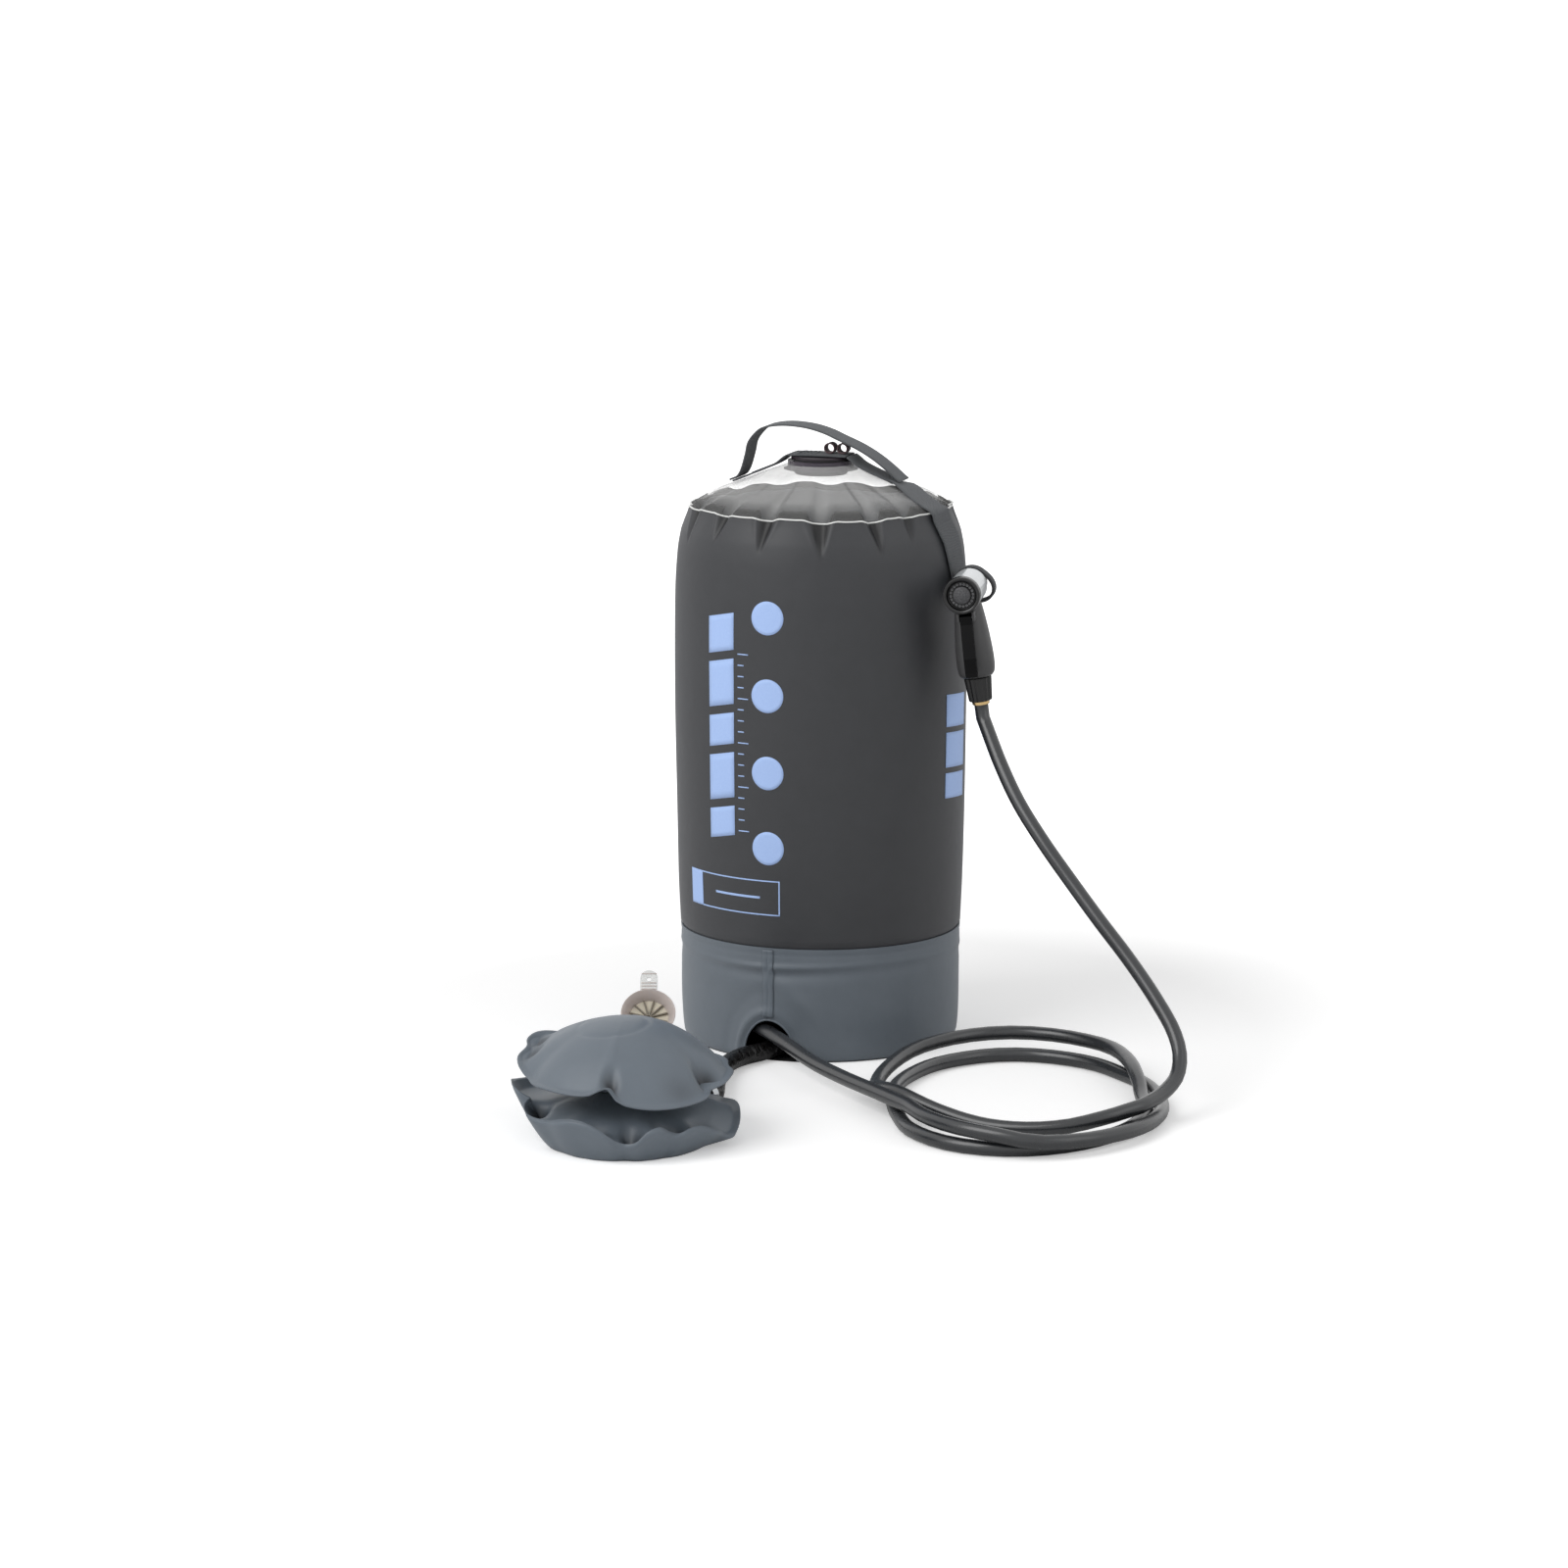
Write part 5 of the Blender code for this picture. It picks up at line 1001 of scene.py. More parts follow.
skirt = settle("skirt_band", laid_grid(SIDES, 60, skirt_place, closed=True), SKIRT_FABRIC, "tank",
               ("skirt",))
modify(skirt, 'SOLIDIFY', thickness=0.0010, offset=-1.0)
bm = bmesh.new()
bmesh.ops.create_cone(bm, cap_ends=True, segments=96, radius1=1, radius2=1, depth=0.05)
bmesh.ops.transform(bm, matrix=Matrix.Diagonal((ARCH_HALF_WIDTH, ARCH_TOP, 1, 1)), verts=bm.verts)
arch_place = Matrix.Translation(AXIS + polar(ARCH_REACH, ARCH_AZIMUTH, 0)) @ Euler(
    (math.pi / 2, 0, math.radians(ARCH_AZIMUTH))).to_matrix().to_4x4()
bmesh.ops.transform(bm, matrix=arch_place, verts=bm.verts)
cut(skirt, bm)
skirt.data.set_sharp_from_angle(angle=math.radians(50))

# %% [markdown]
# A narrow tape covers the skirt's seam, and a thin bead of weld edges the arch.

# %% Seam tape and arch bead
def tape_place(u, v):
    """A point of the seam tape, with a groove down its middle."""
    height = 0.0805 - (0.0805 - ARCH_TOP - 0.0022) * v
    side = (u - 0.5) * 0.0072
    groove = 0.00025 * hump(side, 0, 0.0007) + 0.0003 * (abs(u - 0.5) * 2) ** 8
    azimuth = ARCH_AZIMUTH + math.degrees(side / ARCH_REACH)
    return AXIS + polar(skirt_radius(azimuth, height) + 0.0005 - groove, azimuth, height)


tape = settle("seam_tape", laid_grid(16, 40, tape_place), SEAM_FABRIC, "tank",
              ("skirt_seam_strip",))
modify(tape, 'SOLIDIFY', thickness=0.0006, offset=-1.0)

bead_line = []
for k in range(49):
    turn = math.pi * k / 48
    side = -ARCH_HALF_WIDTH * math.cos(turn)
    height = max(0.0012, ARCH_TOP * math.sin(turn))
    azimuth = ARCH_AZIMUTH + math.degrees(side / ARCH_REACH)
    bead_line.append(AXIS + polar(skirt_radius(azimuth, height) - 0.0002, azimuth, height))
settle("arch_bead", tube_mesh("arch_bead", bead_line, 0.0008, 3), SEAM_FABRIC, "tank")


# %% [markdown]
# Webbing is modelled directly: a grid laid along the strap's line, 25 mm wide, thickened, with
# its own map for the weave. A simulation would only blur its edges.

# %% Webbing
STRAP_ACROSS = (STRAPS.to_3x3() @ Vector((0, 1, 0))).normalized()
WEBBING_WIDTH = 0.0250
WEBBING_THICKNESS = 0.0013


def measure_lay(bm, length, width):
    """Turn a strap's map from shares into metres along and across."""
    lay = bm.loops.layers.uv["lay"]
    for face in bm.faces:
        for loop in face.loops:
            u, v = loop[lay].uv
            loop[lay].uv = (v * length, u * width)
    return bm


def strap_piece(name, line, across, body, replaced, edge):
    """Webbing along a line, its width along the across directions."""
    points = even_points(smooth_curve(line, 8), 0.0022)
    steps = len(points) - 1

    def place(u, v):
        k = min(round(v * steps), steps)
        return points[k] + across(points, k) * ((u - 0.5) * WEBBING_WIDTH)

    bm = measure_lay(laid_grid(10, steps, place), run_length(points), WEBBING_WIDTH)
    piece = settle(name, bm, WEBBING, body, replaced)
    modify(piece, 'SOLIDIFY', thickness=WEBBING_THICKNESS, offset=0.0, use_even_offset=True)
    modify(piece, 'BEVEL', width=edge, segments=2, limit_method='ANGLE')
    return piece


def flat_strap(name, path, body, replaced):
    """Webbing in the strap plane, from points of (distance, height)."""
    return strap_piece(name, [STRAPS @ Vector((x, 0, z)) for x, z in path],
                       lambda points, k: STRAP_ACROSS, body, replaced, WEBBING_THICKNESS * 0.35)


BASE_STRAP = (
    (0.0220, 0.4175), (0.0247, 0.4158), (0.0290, 0.4122), (0.0350, 0.4090), (0.0400, 0.4068),
    (0.0480, 0.4036), (0.0560, 0.4002), (0.0618, 0.3981),
)
HANDLE_LEFT_END = (
    (-0.0640, 0.3989), (-0.0610, 0.4000), (-0.0585, 0.4012), (-0.0562, 0.4045), (-0.0546, 0.4085),
    (-0.0531, 0.4137),
)
HANDLE_ARCH = (
    (-0.0530, 0.4140), (-0.0519, 0.4183), (-0.0503, 0.4254), (-0.0451, 0.4324), (-0.0404, 0.4360),
    (-0.0268, 0.4387), (-0.0088, 0.4377), (0.0050, 0.4342), (0.0142, 0.4303), (0.0293, 0.4237),
    (0.0350, 0.4205),
)
HANDLE_RIGHT_END = (
    (0.0353, 0.4203), (0.0408, 0.4170), (0.0495, 0.4106), (0.0552, 0.4058), (0.0582, 0.4032),
    (0.0606, 0.4013),
)
handle_line = HANDLE_LEFT_END[:-1] + HANDLE_ARCH[1:-1] + HANDLE_RIGHT_END[1:]
left_strap = [(-x, z) for x, z in BASE_STRAP]
flat_strap("webbing_base_left", left_strap, "tank", ("base_strap_left",))
flat_strap("webbing_base_right", BASE_STRAP[:-1], "tank", ("base_strap_right",))
flat_strap("webbing_over_plug", ((-0.0212, 0.41775), (-0.010, 0.4179), (0.010, 0.4179),
                                 (0.0212, 0.41775)), "plug", ("plug_strap",))
handle = flat_strap("webbing_handle", handle_line, None,
                    ("handle_strap", "handle_end_left", "handle_end_right"))
apply_modifiers(handle)
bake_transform(handle)

# %% The strap down the side and the sling
SIDE_STRAP = (
    (0.0590, -1.5, 0.4004), (0.0655, -5.0, 0.3977), (0.0712, -8.5, 0.3950), (0.0800, -12.0, 0.3906),
    (0.0880, -13.0, 0.3868), (0.0926, -13.0, 0.3846), (0.0951, -13.0, 0.3827),
    (0.0960, -12.5, 0.3783), (0.0986, -11.5, 0.3712), (0.1008, -10.0, 0.3642),
    (0.1030, -8.0, 0.3500), (0.1038, -6.0, 0.3380), (0.1042, -6.0, 0.3240),
)


def round_tank(points, k):
    """Across the strap and level with the tank's surface."""
    along = points[min(k + 1, len(points) - 1)] - points[max(k - 1, 0)]
    out = points[k] - AXIS
    side = Vector((-out.y, out.x, 0))
    side -= along * side.dot(along) / along.length_squared
    return side.normalized()


strap_piece("webbing_side", [STRAPS @ Vector((
    radius * math.cos(math.radians(turn)), radius * math.sin(math.radians(turn)), height))
    for radius, turn, height in SIDE_STRAP], round_tank, "tank", ("side_strap",), 0.0004)

SLING_CENTRE, SLING_RADIUS, SLING_REACH, SLING_WIDTH = 0.0470, 0.0116, 0.0048, 0.0100
SLING_SAG = math.radians(28.0)


def ring_strap(centre_of, ring, width, side, thick, look, name, body, replaced):
    """A closed ring of tape from a function of the turn."""
    steps = 64
    points = [centre_of(ring(math.tau * k / steps)) for k in range(steps + 1)]

    def place(u, v):
        return points[round(v * steps) % steps] + side * ((u - 0.5) * width)

    bm = measure_lay(laid_grid(6, steps, place, closed=True), run_length(points), width)
    piece = settle(name, bm, look, body, replaced)
    modify(piece, 'SOLIDIFY', thickness=thick, offset=0.0)
    modify(piece, 'BEVEL', width=thick * 0.35, segments=2, limit_method='ANGLE')


def sling_ring(turn):
    """The sling's outline round the rear cap, sagging away from it on the outer side."""
    reach = SLING_RADIUS + SLING_REACH * max(0.0, math.cos(turn + SLING_SAG)) ** 3.5
    return Vector((reach * math.cos(turn), SLING_CENTRE, reach * math.sin(turn)))


ring_strap(lambda p: HANDSET @ p, sling_ring, SLING_WIDTH, HANDSET_TURN @ Vector((0, 1, 0)),
           0.0021, DARK_WEBBING, "webbing_sling", "tank", ("sling_loop",))
for tag, x in (("left", 0.0072), ("right", 0.0165)):
    ring_strap(lambda p: STRAPS @ p,
               lambda t, x=x: Vector((x + 0.0036 * math.cos(t), 0, 0.42255 + 0.0034 * math.sin(t))),
               0.0090, STRAP_ACROSS, 0.0009, LOOP_TAPE, "tape_loop_" + tag, "plug",
               ("pull_loop_" + tag,))


# %% [markdown]
# Webbing is sewn down with a box of stitches. Each stitch is a short raised thread, so the boxes
# are rows of small bars, in a thread a little lighter than the webbing.

# %% Stitches
THREAD, tree, shader = finish("grey_bonded_thread", "#63666a", 0.7)
twist = add(tree, "ShaderNodeTexNoise", None, Vector=object_place(tree), Scale=2500.0, Detail=1.0)
relief(tree, shader, twist.outputs["Fac"], 0.0001, 0.5)
STITCH_PITCH = 0.0028


def stitch_row(bm, start, end, up):
    """Add small stitches between two points."""
    run = end - start
    x = run.normalized()
    turn = Matrix((x, up.cross(x).normalized(), up.normalized())).transposed().to_4x4()
    count = max(1, int(run.length / STITCH_PITCH))
    for k in range(count):
        add_bar(bm, Matrix.Translation(start + run * ((k + 0.5) / count)) @ turn,
                (STITCH_PITCH * 0.62, 0.0006, 0.0005))


def stitched_box(name, x1, x2, top_of, body):
    """A sewn box on webbing in the strap plane, between two distances."""
    bm = bmesh.new()
    corners = [(x1, -0.0100), (x2, -0.0100), (x2, 0.0100), (x1, 0.0100)]
    points = [STRAPS @ Vector((x, y, top_of(x))) for x, y in corners]
    up = (points[1] - points[0]).cross(points[3] - points[0]).normalized()
    for a, b in (0, 1), (1, 2), (2, 3), (3, 0), (0, 2), (1, 3):
        stitch_row(bm, points[a], points[b], up)
    settle(name, bm, THREAD, body)


def left_top(x):
    """The height of the left base strap's upper face at a distance."""
    for (x1, z1), (x2, z2) in zip(left_strap, left_strap[1:]):
        if x2 <= x <= x1:
            return z1 + (z2 - z1) * (x - x1) / (x2 - x1) + 0.0008


stitched_box("stitches_left", -0.0480, -0.0380, left_top, "tank")
stitched_box("stitches_plug", -0.0150, -0.0020, lambda x: 0.41865, "plug")

# %% [markdown]
# The fill port is a moulded ring welded into the film, with a plug pressed into it. Its dark
# parts show through the film, so they keep their solids and get a satin vinyl finish.

# %% Finishes on the hard pieces
def dress(look, slot, *names):
    """Give CAD nodes a finish."""
    for name in names:
        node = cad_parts[name]
        node.data.materials.clear()
        node.data.materials.append(look)


dress(PORT_PLASTIC, "black_plastic", "fill_plug")
dress(CLEAR_PLASTIC, "clear_film", "port_flange")
dress(SEAL_RUBBER, "seal_rubber", "plug_seal", "duckbill_valve")
dress(TANK_FABRIC, "tank_fabric", "tank_floor")
dress(BLACK_NYLON, "black_plastic", "water_stem", "water_nut", "water_elbow", "air_stem", "air_nut",
      "air_elbow", "hose_tail", "barrel_core", "rear_cap", "collar_nut")
dress(STEEL, "steel", "water_clamp", "air_clamp", "pump_clamp", "trigger_pin")
dress(BRASS, "brass", "valve_plunger", "brass_ring")
dress(SILVER, "silver_barrel", "barrel_sleeve")
dress(TRIGGER_PLASTIC, "gloss_plastic_black", "trigger")
dress(FOAM, "pump_foam", "upper_foam")
dress(FLAP_RUBBER, "seal_rubber", "valve_flap")
dress(MILKY, "translucent_plastic", "valve_seat", "valve_grid", "cap_tether")

# %% [markdown]
# The spray head is looked at face on. Its bezel has a rounded lip that catches the light, and
# the plate inside has a sunken ring with twenty rubber nozzles round a stippled middle.

# %% The spray head
BARREL = HANDSET @ Matrix.Rotation(math.pi / 2, 4, 'X')
BEZEL_PLASTIC = moulded("black_satin_bezel", "#1b1b1c", 0.24)
settle("bezel_ring", turned((
    (0.0112, 0.0009), (0.0119, 0.0011), (0.0126, 0.0008), (0.0129, 0.0001), (0.0129, -0.0056),
    (0.0126, -0.0062), (0.0104, -0.0062), (0.0104, -0.0002), (0.0106, 0.0005)), 128),
       BEZEL_PLASTIC, "handset", ("bezel",), BARREL, 40)
settle("spray_face", turned((
    (0, -0.0040), (0.0101, -0.0040), (0.0101, -0.0016), (0.0097, -0.0013), (0.0093, -0.0016),
    (0.0090, -0.0027), (0.0067, -0.0027), (0.0063, -0.0018), (0, -0.0017)), 96),
       BLACK_NYLON, "handset", ("spray_plate",), BARREL, 40)
STIPPLE, tree, shader = finish("stippled_grey_plastic", "#3d3d3f", 0.42)
dots = add(tree, "ShaderNodeTexVoronoi", None, Vector=object_place(tree), Scale=1100.0)
relief(tree, shader, dots.outputs["Distance"], 0.0003, 0.9)
two_tone(tree, shader, dots.outputs["Distance"], "#2b2b2d", "#57575a")
settle("stippled_middle", turned((
    (0, -0.0017), (0.0060, -0.0017), (0.0060, -0.0011), (0.0056, -0.0008), (0, -0.0006)), 64),
       STIPPLE, "handset", (), BARREL, 40)
NOZZLE_RUBBER = speckled("grey_nozzle_rubber", "#77787a", 0.5, "#66676a", "#8b8c8e", 900.0)
NOZZLES = 20
bm = turned(((0.00035, 0), (0.00085, 0), (0.00075, 0.0009), (0.00045, 0.0009)), 12)
bmesh.ops.translate(bm, verts=bm.verts, vec=(0.0078, 0, -0.0027))
bmesh.ops.spin(bm, geom=bm.verts[:] + bm.edges[:] + bm.faces[:], cent=(0, 0, 0), axis=(0, 0, 1),
               angle=math.tau * (NOZZLES - 1) / NOZZLES, steps=NOZZLES - 1, use_duplicate=True)
settle("nozzle_ring", bm, NOZZLE_RUBBER, "handset", (), BARREL, 40)

# %% [markdown]
# The grip is one smooth hollow moulding. It is lofted through the CAD model's sections, then the
# barrel's saddle, the bore for the hose tail and the plunger's hole are cut from it.

# %% The grip
BARREL_RADIUS = 0.01225
GRIP_SECTIONS = (
    (-0.0085, 0.0090, 0.0092), (-0.0160, 0.0101, 0.0112), (-0.0260, 0.0113, 0.0130),
    (-0.0380, 0.0124, 0.0142), (-0.0500, 0.0130, 0.0142), (-0.0560, 0.0127, 0.0134),
    (-0.0590, 0.0120, 0.0124), (-0.0605, 0.0108, 0.0108),
)
grip_line = smooth_curve(GRIP_SECTIONS, 6)


def grip_place(u, v):
    """A point of the grip's skin, round it and down it."""
    height, half_width, half_depth = grip_line[round(v * (len(grip_line) - 1))]
    c, s = math.cos(math.tau * u), math.sin(math.tau * u)
    return Vector((half_width * math.copysign(abs(c) ** 0.8, c),
                   GRIP_AXIS + half_depth * math.copysign(abs(s) ** 0.8, s), height))


def cut_round(piece, radius, depth, middle, turn):
    """Cut a round hole in a piece on the hand shower, from its middle and its turn."""
    hole = bmesh.new()
    bmesh.ops.create_cone(hole, cap_ends=True, segments=96, radius1=radius, radius2=radius,
                          depth=depth)
    bmesh.ops.transform(hole, matrix=HANDSET @ Matrix.Translation(middle) @ turn, verts=hole.verts)
    cut(piece, hole)


bm = laid_grid(96, len(grip_line) - 1, grip_place, closed=True)
bmesh.ops.holes_fill(bm, edges=bm.edges)
grip = settle("grip_moulding", bm, GRIP_PLASTIC, "handset", ("grip",), HANDSET)
ALONG_Y = Matrix.Rotation(math.pi / 2, 4, 'X')
HOSE_BORE, PLUNGER_BORE, PLUNGER_HEIGHT = 0.0065, 0.0019, -0.0360
cut_round(grip, BARREL_RADIUS + GAP, 0.06, (0, GRIP_AXIS, 0), ALONG_Y)
cut_round(grip, HOSE_BORE, 0.040, (0, GRIP_AXIS, -0.0410), Matrix.Identity(4))
cut_round(grip, PLUNGER_BORE, 0.016, (0, GRIP_AXIS - 0.013, PLUNGER_HEIGHT), ALONG_Y)
grip.data.set_sharp_from_angle(angle=math.radians(40))
bm = bmesh.new()
for side in (-1, 1):
    add_bar(bm, Matrix.Translation((side * 0.0054, 0.0095, -0.0163)), (0.0018, 0.0100, 0.0064))
soften(bm, 0.0005)
settle("grip_ears", bm, GRIP_PLASTIC, "handset", (), HANDSET, 40)

# %% The plunger's spring
SPRING_FRONT, SPRING_BACK, SPRING_RADIUS, SPRING_TURNS = 0.02455, 0.02705, 0.0020, 3
coil_points = []
for k in range(73):
    turn = math.tau * SPRING_TURNS * k / 72
    coil_points.append(HANDSET @ Vector((
        SPRING_RADIUS * math.cos(turn), SPRING_FRONT + (SPRING_BACK - SPRING_FRONT) * k / 72,
        PLUNGER_HEIGHT + SPRING_RADIUS * math.sin(turn))))
spring = settle("return_spring", tube_mesh("return_spring", coil_points, 0.00025, 2), STEEL,
                "handset", ("plunger_spring",))
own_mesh(spring)

# %% [markdown]
# The intake cap hangs open. It is a cup of milky vinyl: a conical ring, a floor with cream ribs
# that stiffen it, and a clear tab to pull, ribbed for the fingers, with a hole near its end. The
# ribs are drawn in a dark milky tone, as painted shade.

# %% The intake cap
CUP = CAP @ Matrix.Translation((0, 0.0200, 0))
CUP_FLOOR = -0.0090
settle("cap_cone", turned((
    (0.0145, CUP_FLOOR), (0.0165, -0.0045), (0.0183, -0.0010), (0.0185, -0.0005), (0.0182, -0.0001),
    (0.0176, -0.0003), (0.0155, -0.0045), (0.0133, CUP_FLOOR + 0.0012), (0.0133, CUP_FLOOR)), 96),
       MILKY, "intake_cap", ("valve_cap",), CUP, 60)
settle("cap_floor", turned(((0, CUP_FLOOR), (0.0133, CUP_FLOOR), (0.0133, CUP_FLOOR + 0.0012),
                            (0, CUP_FLOOR + 0.0012)), 64),
       CREAM, "intake_cap", (), CUP, 60)
# Painted shade: the cream ribs are drawn dark, for the shadows between them.
RIB_SHADE_LOOK = speckled("milky_vinyl_painted_shade", "#7a7266", 0.45, "#6c6458", "#8b8376", 260.0, 3.0)
CAP_RIBS = 12
bm = bmesh.new()
for k in range(CAP_RIBS):
    add_bar(bm, Matrix.Rotation(math.tau * (k + 0.5) / CAP_RIBS, 4, 'Z')
            @ Matrix.Translation((0.0072, 0, CUP_FLOOR + 0.0020)), (0.0120, 0.0010, 0.0020))
soften(bm, 0.0003)
settle("cap_ribs", bm, RIB_SHADE_LOOK, "intake_cap", (), CUP, 60)


def flat_plate(name, outlines, half_thickness):
    """A flat plate from its outline and its holes, with softened edges."""
    curve = bpy.data.curves.new(name, 'CURVE')
    curve.dimensions = '2D'
    curve.fill_mode = 'BOTH'
    curve.extrude = half_thickness
    curve.bevel_depth = half_thickness * 0.3
    for outline in outlines:
        spline = curve.splines.new('POLY')
        spline.points.add(len(outline) - 1)
        for control, (x, y) in zip(spline.points, outline):
            control.co = (x, y, 0, 1)
        spline.use_cyclic_u = True
    return curve_mesh(name, curve)


TAB_HALF, TAB_START, TAB_STRAIGHT = 0.0058, 0.0378, 0.0100
tongue = [(TAB_HALF, TAB_START)] + [
    (TAB_HALF * math.cos(math.pi * k / 24),
     TAB_START + TAB_STRAIGHT + TAB_HALF * math.sin(math.pi * k / 24)) for k in range(25)
] + [(-TAB_HALF, TAB_START)]
TAB_HOLE_AT = TAB_START + TAB_STRAIGHT - 0.0010
hole = [(0.0017 * math.cos(math.tau * k / 24), TAB_HOLE_AT + 0.0017 * math.sin(math.tau * k / 24))
        for k in range(24)]
TAB = CAP @ Matrix.Translation((0, 0, -0.0020))
settle("cap_tab", flat_plate("cap_tab", (tongue, hole), 0.0005), CLEAR_TAB, "intake_cap",
       (), TAB, 40)
bm = bmesh.new()
for k in range(6):
    along = TAB_START + 0.0012 + 0.0024 * k
    if abs(along - TAB_HOLE_AT) > 0.0022:
        add_bar(bm, Matrix.Translation((0, along, 0.0008)), (0.0102, 0.0007, 0.0006))
soften(bm, 0.0002)
settle("tab_ribs", bm, MILKY, "intake_cap", (), TAB, 40)

# %% [markdown]
# The foot pump is two welded pillows, one on the other, joined by a neck. Air lifts the middle
# and the flat welded rim gathers into ruffles, because a disc that swells has too much edge.

# %% The pillows
NECK_BORE = 0.0200
LOWER_REST = 0.70
LOWER = {
    "radius": 0.0755, "rim": (
        (-150, 0.0235), (-125, 0.0300), (-104, 0.0350), (-88, 0.0395), (-80, 0.0390),
        (-72, 0.0330), (-66, 0.0325), (-56, 0.0262), (-43, 0.0250), (-30, 0.0290), (-20, 0.0290),
        (-11, 0.0240), (-4, 0.0170), (1, 0.0140), (7, 0.0155), (13, 0.0225), (19, 0.0252),
        (25, 0.0212), (30, 0.0192), (36, 0.0222), (43, 0.0222), (58, 0.0150), (72, 0.0080),
        (84, 0.0115), (96, 0.0175), (110, 0.0195), (150, 0.0140), (180, 0.0160)),
    "folds": ((-70, 0.0100, 6), (-44, 0.0035, 8), (1, 0.0050, 6), (27, 0.0035, 5),
              (64, 0.0025, 7), (118, 0.0040, 8), (160, 0.0030, 8), (205, 0.0040, 8)),
    "hollows": ((-68, 0.0120, 7), (-16, 0.0070, 9), (5, 0.0095, 5), (29, 0.0110, 6),
                (52, 0.0060, 8)),
}


def periodic(stations, azimuth):
    """A smooth value round a rim, from its (azimuth, value) stations."""
    azimuth = round_turn(azimuth)
    count = len(stations)
    index = count - 1
    for k in range(count):
        if stations[k][0] > azimuth:
            index = k - 1
            break

    def at(j):
        turns, k = divmod(j, count)
        return stations[k][0] + 360 * turns, stations[k][1]

    (a0, v0), (a1, v1), (a2, v2), (a3, v3) = (at(index + j) for j in (-1, 0, 1, 2))
    if azimuth < a1:
        a0, a1, a2, a3 = a0 - 360, a1 - 360, a2 - 360, a3 - 360
    span = a2 - a1
    return cubic((azimuth - a1) / span, v1, v2, (v2 - v0) / (a2 - a0) * span,
                 (v3 - v1) / (a3 - a1) * span)


def fold_pull(folds, azimuth):
    """How deep the folds draw the rim in at an azimuth."""
    return sum(deep * hump(round_turn(azimuth - centre), 0, half) for centre, deep, half in folds)


UPPER = {
    "radius": 0.0715, "rim": (
        (-150, 0.0530), (-136, 0.0580), (-122, 0.0605), (-110, 0.0590), (-98, 0.0565),
        (-84, 0.0520), (-70, 0.0455), (-58, 0.0442), (-42, 0.0436), (-28, 0.0430), (-18, 0.0440),
        (-12, 0.0475), (-8, 0.0482), (-3, 0.0415), (4, 0.0372), (20, 0.0342), (44, 0.0352),
        (60, 0.0392), (74, 0.0430), (92, 0.0440), (121, 0.0450), (150, 0.0440), (180, 0.0430)),
    "folds": ((-100, 0.0045, 8), (-68, 0.0030, 8), (-8, 0.0035, 4), (60, 0.0050, 6),
              (100, 0.0030, 8), (140, 0.0040, 9), (215, 0.0040, 9)),
    "hollows": ((-112, 0.0045, 9), (-92, 0.0040, 7), (-7, 0.0065, 4.5), (61, 0.0085, 7),
                (38, 0.0020, 10)),
}
FLANGE = 0.0050


def valve_roof(y):
    """The height to which the stiff valve seat holds the upper pillow down."""
    return VALVE_CENTRE.z - 0.0004 - (y - VALVE_CENTRE.y) * math.tan(VALVE_LEAN)


def lower_point(share, azimuth, top):
    """A point of the lower pillow's top or bottom skin."""
    rim = periodic(LOWER["rim"], azimuth)
    pull = fold_pull(LOWER["folds"], azimuth)
    flat = 1 - FLANGE / LOWER["radius"]
    if top:
        bulge = max(0.0, 1 - (share / flat) ** 2.2)
        wave = (rim - 0.0100) * share ** 5
        height = 0.0108 + 0.0263 * bulge + wave
        height -= fold_pull(LOWER["hollows"], azimuth) * hump(share, 0.83, 0.08)
        height = max(height, 0.0040)
    else:
        rest = LOWER_REST + 0.10 * hump(azimuth, 4, 55)
        height = (rim - 0.0014) * max(0.0, (share - rest) / (1 - rest)) ** 1.3
    reach = LOWER["radius"] * share - pull * share ** 4
    return reach, height


def upper_point(share, azimuth, top):
    """A point of the upper pillow's top or bottom skin."""
    rim = periodic(UPPER["rim"], azimuth)
    pull = fold_pull(UPPER["folds"], azimuth)
    flat = 1 - FLANGE / UPPER["radius"]
    wave = (rim - 0.0475) * share ** 3.2
    reach = UPPER["radius"] * share - pull * share ** 4
    if top:
        bulge = max(0.0, 1 - (share / flat) ** 2.1)
        height = 0.0482 + 0.0315 * bulge + wave
        height -= fold_pull(UPPER["hollows"], azimuth) * hump(share, 0.84, 0.09)
        x = reach * math.sin(math.radians(azimuth))
        y = -reach * math.cos(math.radians(azimuth))
        ring = math.hypot((x + 0.0080) / 0.0230, (y + 0.0040) / 0.0230)
        height -= 0.0006 * hump(ring, 1.0, 0.09)
        height = min(height, valve_roof(y))
    else:
        bulge = max(0.0, 1 - (share / flat) ** 2)
        height = 0.0468 - 0.0060 * bulge + wave
    return reach, height


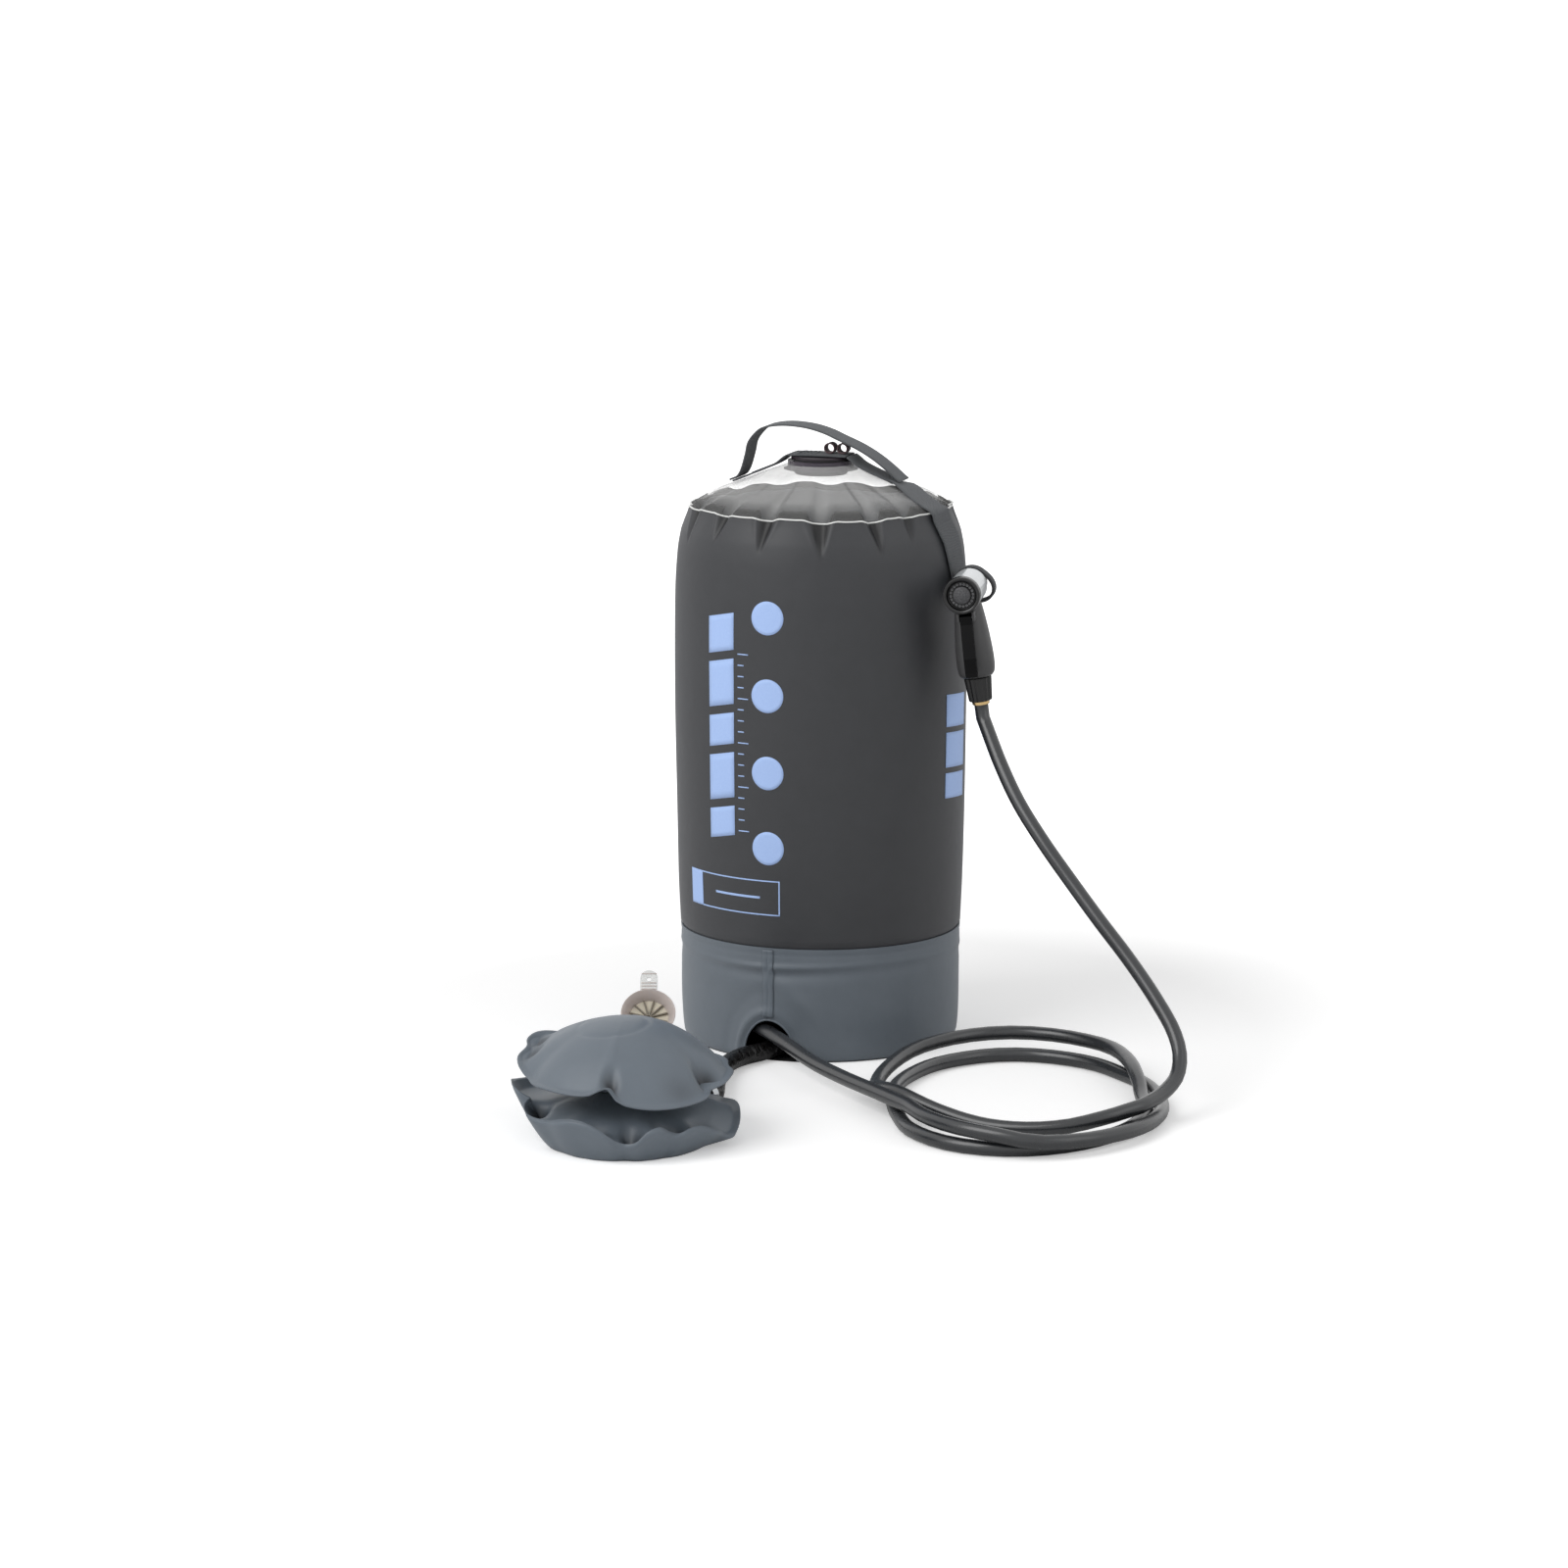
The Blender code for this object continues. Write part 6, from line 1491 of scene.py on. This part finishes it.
def pillow(name, point_of, hole_on_top, body, replaced, stand):
    """One welded pillow: a grid that runs from one skin's middle over the rim to the other's."""
    hole = NECK_BORE / 0.0735

    def place(u, v):
        azimuth = 360 * u - 180
        top = v <= 0.5
        share = ((v if top else 1 - v) / 0.5) ** 0.8
        if top == hole_on_top:
            share = hole + (1 - hole) * share
        reach, height = point_of(share, azimuth, top)
        return stand @ polar(reach, azimuth, max(height, 0.0))

    piece = settle(name, laid_grid(360, 100, place, closed=True), PUMP_FABRIC, body,
                   replaced)
    table = LOWER if hole_on_top else UPPER
    back = stand.inverted()

    def hollow_shade(point):
        """How much painted shade a hollow gets at a point; only the upper skin's hollows are
        painted dark.
        """
        local = back @ point
        azimuth = math.degrees(math.atan2(local.x, -local.y))
        reach = math.hypot(local.x, local.y)
        pull = fold_pull(table["folds"], azimuth)
        share = reach / table["radius"]
        for _ in range(6):
            share = (reach + pull * share ** 4) / table["radius"]
        above = point_of(share, azimuth, True)[1] - local.z
        under = local.z - point_of(share, azimuth, False)[1]
        if abs(above) > abs(under):
            return 0.0
        return fold_pull(table["hollows"], azimuth) / 0.0060 * hump(share, 0.87, 0.08)

    # Painted shade in the pillow's hollows.
    shade_folds(piece, hollow_shade)
    modify(piece, 'SOLIDIFY', thickness=0.0007, offset=-1.0)
    return piece


lower = pillow("pump_lower", lower_point, True, "tank", ("lower_pillow",), PUMP)
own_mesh(lower)
upper = pillow("pump_upper", upper_point, False, "pump_top", ("upper_pillow",), PUMP_TOP)

# %% [markdown]
# The neck is a short collar of the same fabric, with three soft pleats from being pressed flat
# so often. It closes up like a concertina when the pump is trodden on.

# %% The neck between the pillows
NECK_RADIUS, NECK_LOW, NECK_HIGH = 0.0232, 0.0358, 0.0432


def neck_place(u, v):
    """A point of the neck, from its lower weld to its upper one."""
    angle = math.tau * u
    pleat = 0.0014 * math.sin(math.tau * 2.5 * v) * math.sin(math.pi * v)
    radius = NECK_RADIUS + pleat + 0.0003 * math.sin(7 * angle)
    return PUMP @ Vector((radius * math.cos(angle), radius * math.sin(angle),
                          NECK_LOW + (NECK_HIGH - NECK_LOW) * v))


neck = settle("pump_collar", laid_grid(120, 24, neck_place, closed=True), PUMP_FABRIC, "tank",
              ("pump_neck",))
modify(neck, 'SOLIDIFY', thickness=0.0007, offset=-1.0)
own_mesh(neck)
foam = settle("pump_foam_core", turned((
    (0, 0.0310), (0.0180, 0.0310), (0.0340, 0.0240), (0.0430, 0.0180), (0.0450, 0.0140),
    (0.0380, 0.0085), (0.0260, 0.0045), (0, 0.0024)), 64), FOAM, "tank",
              ("lower_foam",), PUMP)
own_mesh(foam)

# %% [markdown]
# The floor is white paper that fades into the white room. For the camera it glows, more the farther
# it is from the tank: painted light that whitens it and washes out the far shadows, while close to
# the tank it glows less, so the soft shadows stay. Under the tank, inside the skirt, its colour is
# painted nearly black: painted shade for the hollow there.

# %% The floor, backdrop and light
SHADE_RADIUS = 0.0945
floor = bpy.data.meshes.new("floor")
bm = bmesh.new()
bmesh.ops.create_grid(bm, x_segments=1, y_segments=1, size=30)
bm.to_mesh(floor)
bm.free()
floor_object = bpy.data.objects.new("floor", floor)
bpy.context.scene.collection.objects.link(floor_object)
floor_look, tree, shader = finish("pale_floor", "#f4f4f4", 0.9, Specular_IOR_Level=0.1)
seen = add(tree, "ShaderNodeLightPath").outputs["Is Camera Ray"]
shader.inputs["Emission Color"].default_value = (1, 1, 1, 1)
# Painted light: the camera sees the floor glow, not at all inside the skirt and most far from the
# tank.
away = add(tree, "ShaderNodeVectorMath", {"operation": 'DISTANCE'}, in0=object_place(tree),
           in1=tuple(AXIS)).outputs["Value"]
outside = add(tree, "ShaderNodeMath", {"operation": 'GREATER_THAN'}, in0=away, in1=SHADE_RADIUS)
far = add(tree, "ShaderNodeMapRange", None, Value=away, From_Min=0.32, From_Max=0.75, To_Min=0.32,
          To_Max=0.90)
painted_glow = add(tree, "ShaderNodeMath", {"operation": 'MULTIPLY'}, in0=outside.outputs[0],
            in1=far.outputs["Result"])
strength = add(tree, "ShaderNodeMath", {"operation": 'MULTIPLY'}, in0=seen, in1=painted_glow.outputs[0])
tree.links.new(strength.outputs[0], shader.inputs["Emission Strength"])
# Painted shade: inside the skirt the floor's colour is nearly black.
inside = add(tree, "ShaderNodeMapRange", None, Value=outside.outputs[0], To_Min=0.04, To_Max=0.91)
tree.links.new(inside.outputs["Result"], shader.inputs["Base Color"])
floor.materials.append(floor_look)

world = bpy.data.worlds.new("studio")
bpy.context.scene.world = world
world.use_nodes = True
tree = world.node_tree
path = add(tree, "ShaderNodeLightPath")
either = add(tree, "ShaderNodeMath", {"operation": 'MAXIMUM'}, in0=path.outputs["Is Camera Ray"],
             in1=path.outputs["Is Transmission Ray"])
every = add(tree, "ShaderNodeMath", {"operation": 'MAXIMUM'}, in0=either.outputs[0],
            in1=path.outputs["Is Glossy Ray"])
glow = add(tree, "ShaderNodeMapRange", None, Value=every.outputs[0], To_Min=0.50, To_Max=1.0)
tree.links.new(glow.outputs["Result"], tree.nodes["Background"].inputs["Strength"])
tree.nodes["Background"].inputs["Color"].default_value = (1, 1, 1, 1)


def lamp(name, location, target, size, power):
    """A soft rectangular lamp that looks at a point."""
    data = bpy.data.lights.new(name, 'AREA')
    data.shape = 'RECTANGLE'
    data.size, data.size_y = size
    data.energy = power
    item = bpy.data.objects.new(name, data)
    item.location = location
    item.rotation_euler = (Vector(target) - Vector(location)).to_track_quat('-Z', 'Y').to_euler()
    bpy.context.scene.collection.objects.link(item)


lamp("key_light", (-1.6, -1.2, 1.9), (0, 0, 0.15), (1.8, 1.8), 34)
lamp("fill_light", (1.7, -0.9, 1.3), (0, 0, 0.2), (1.2, 1.4), 4)
bpy.context.scene.view_settings.view_transform = 'Standard'
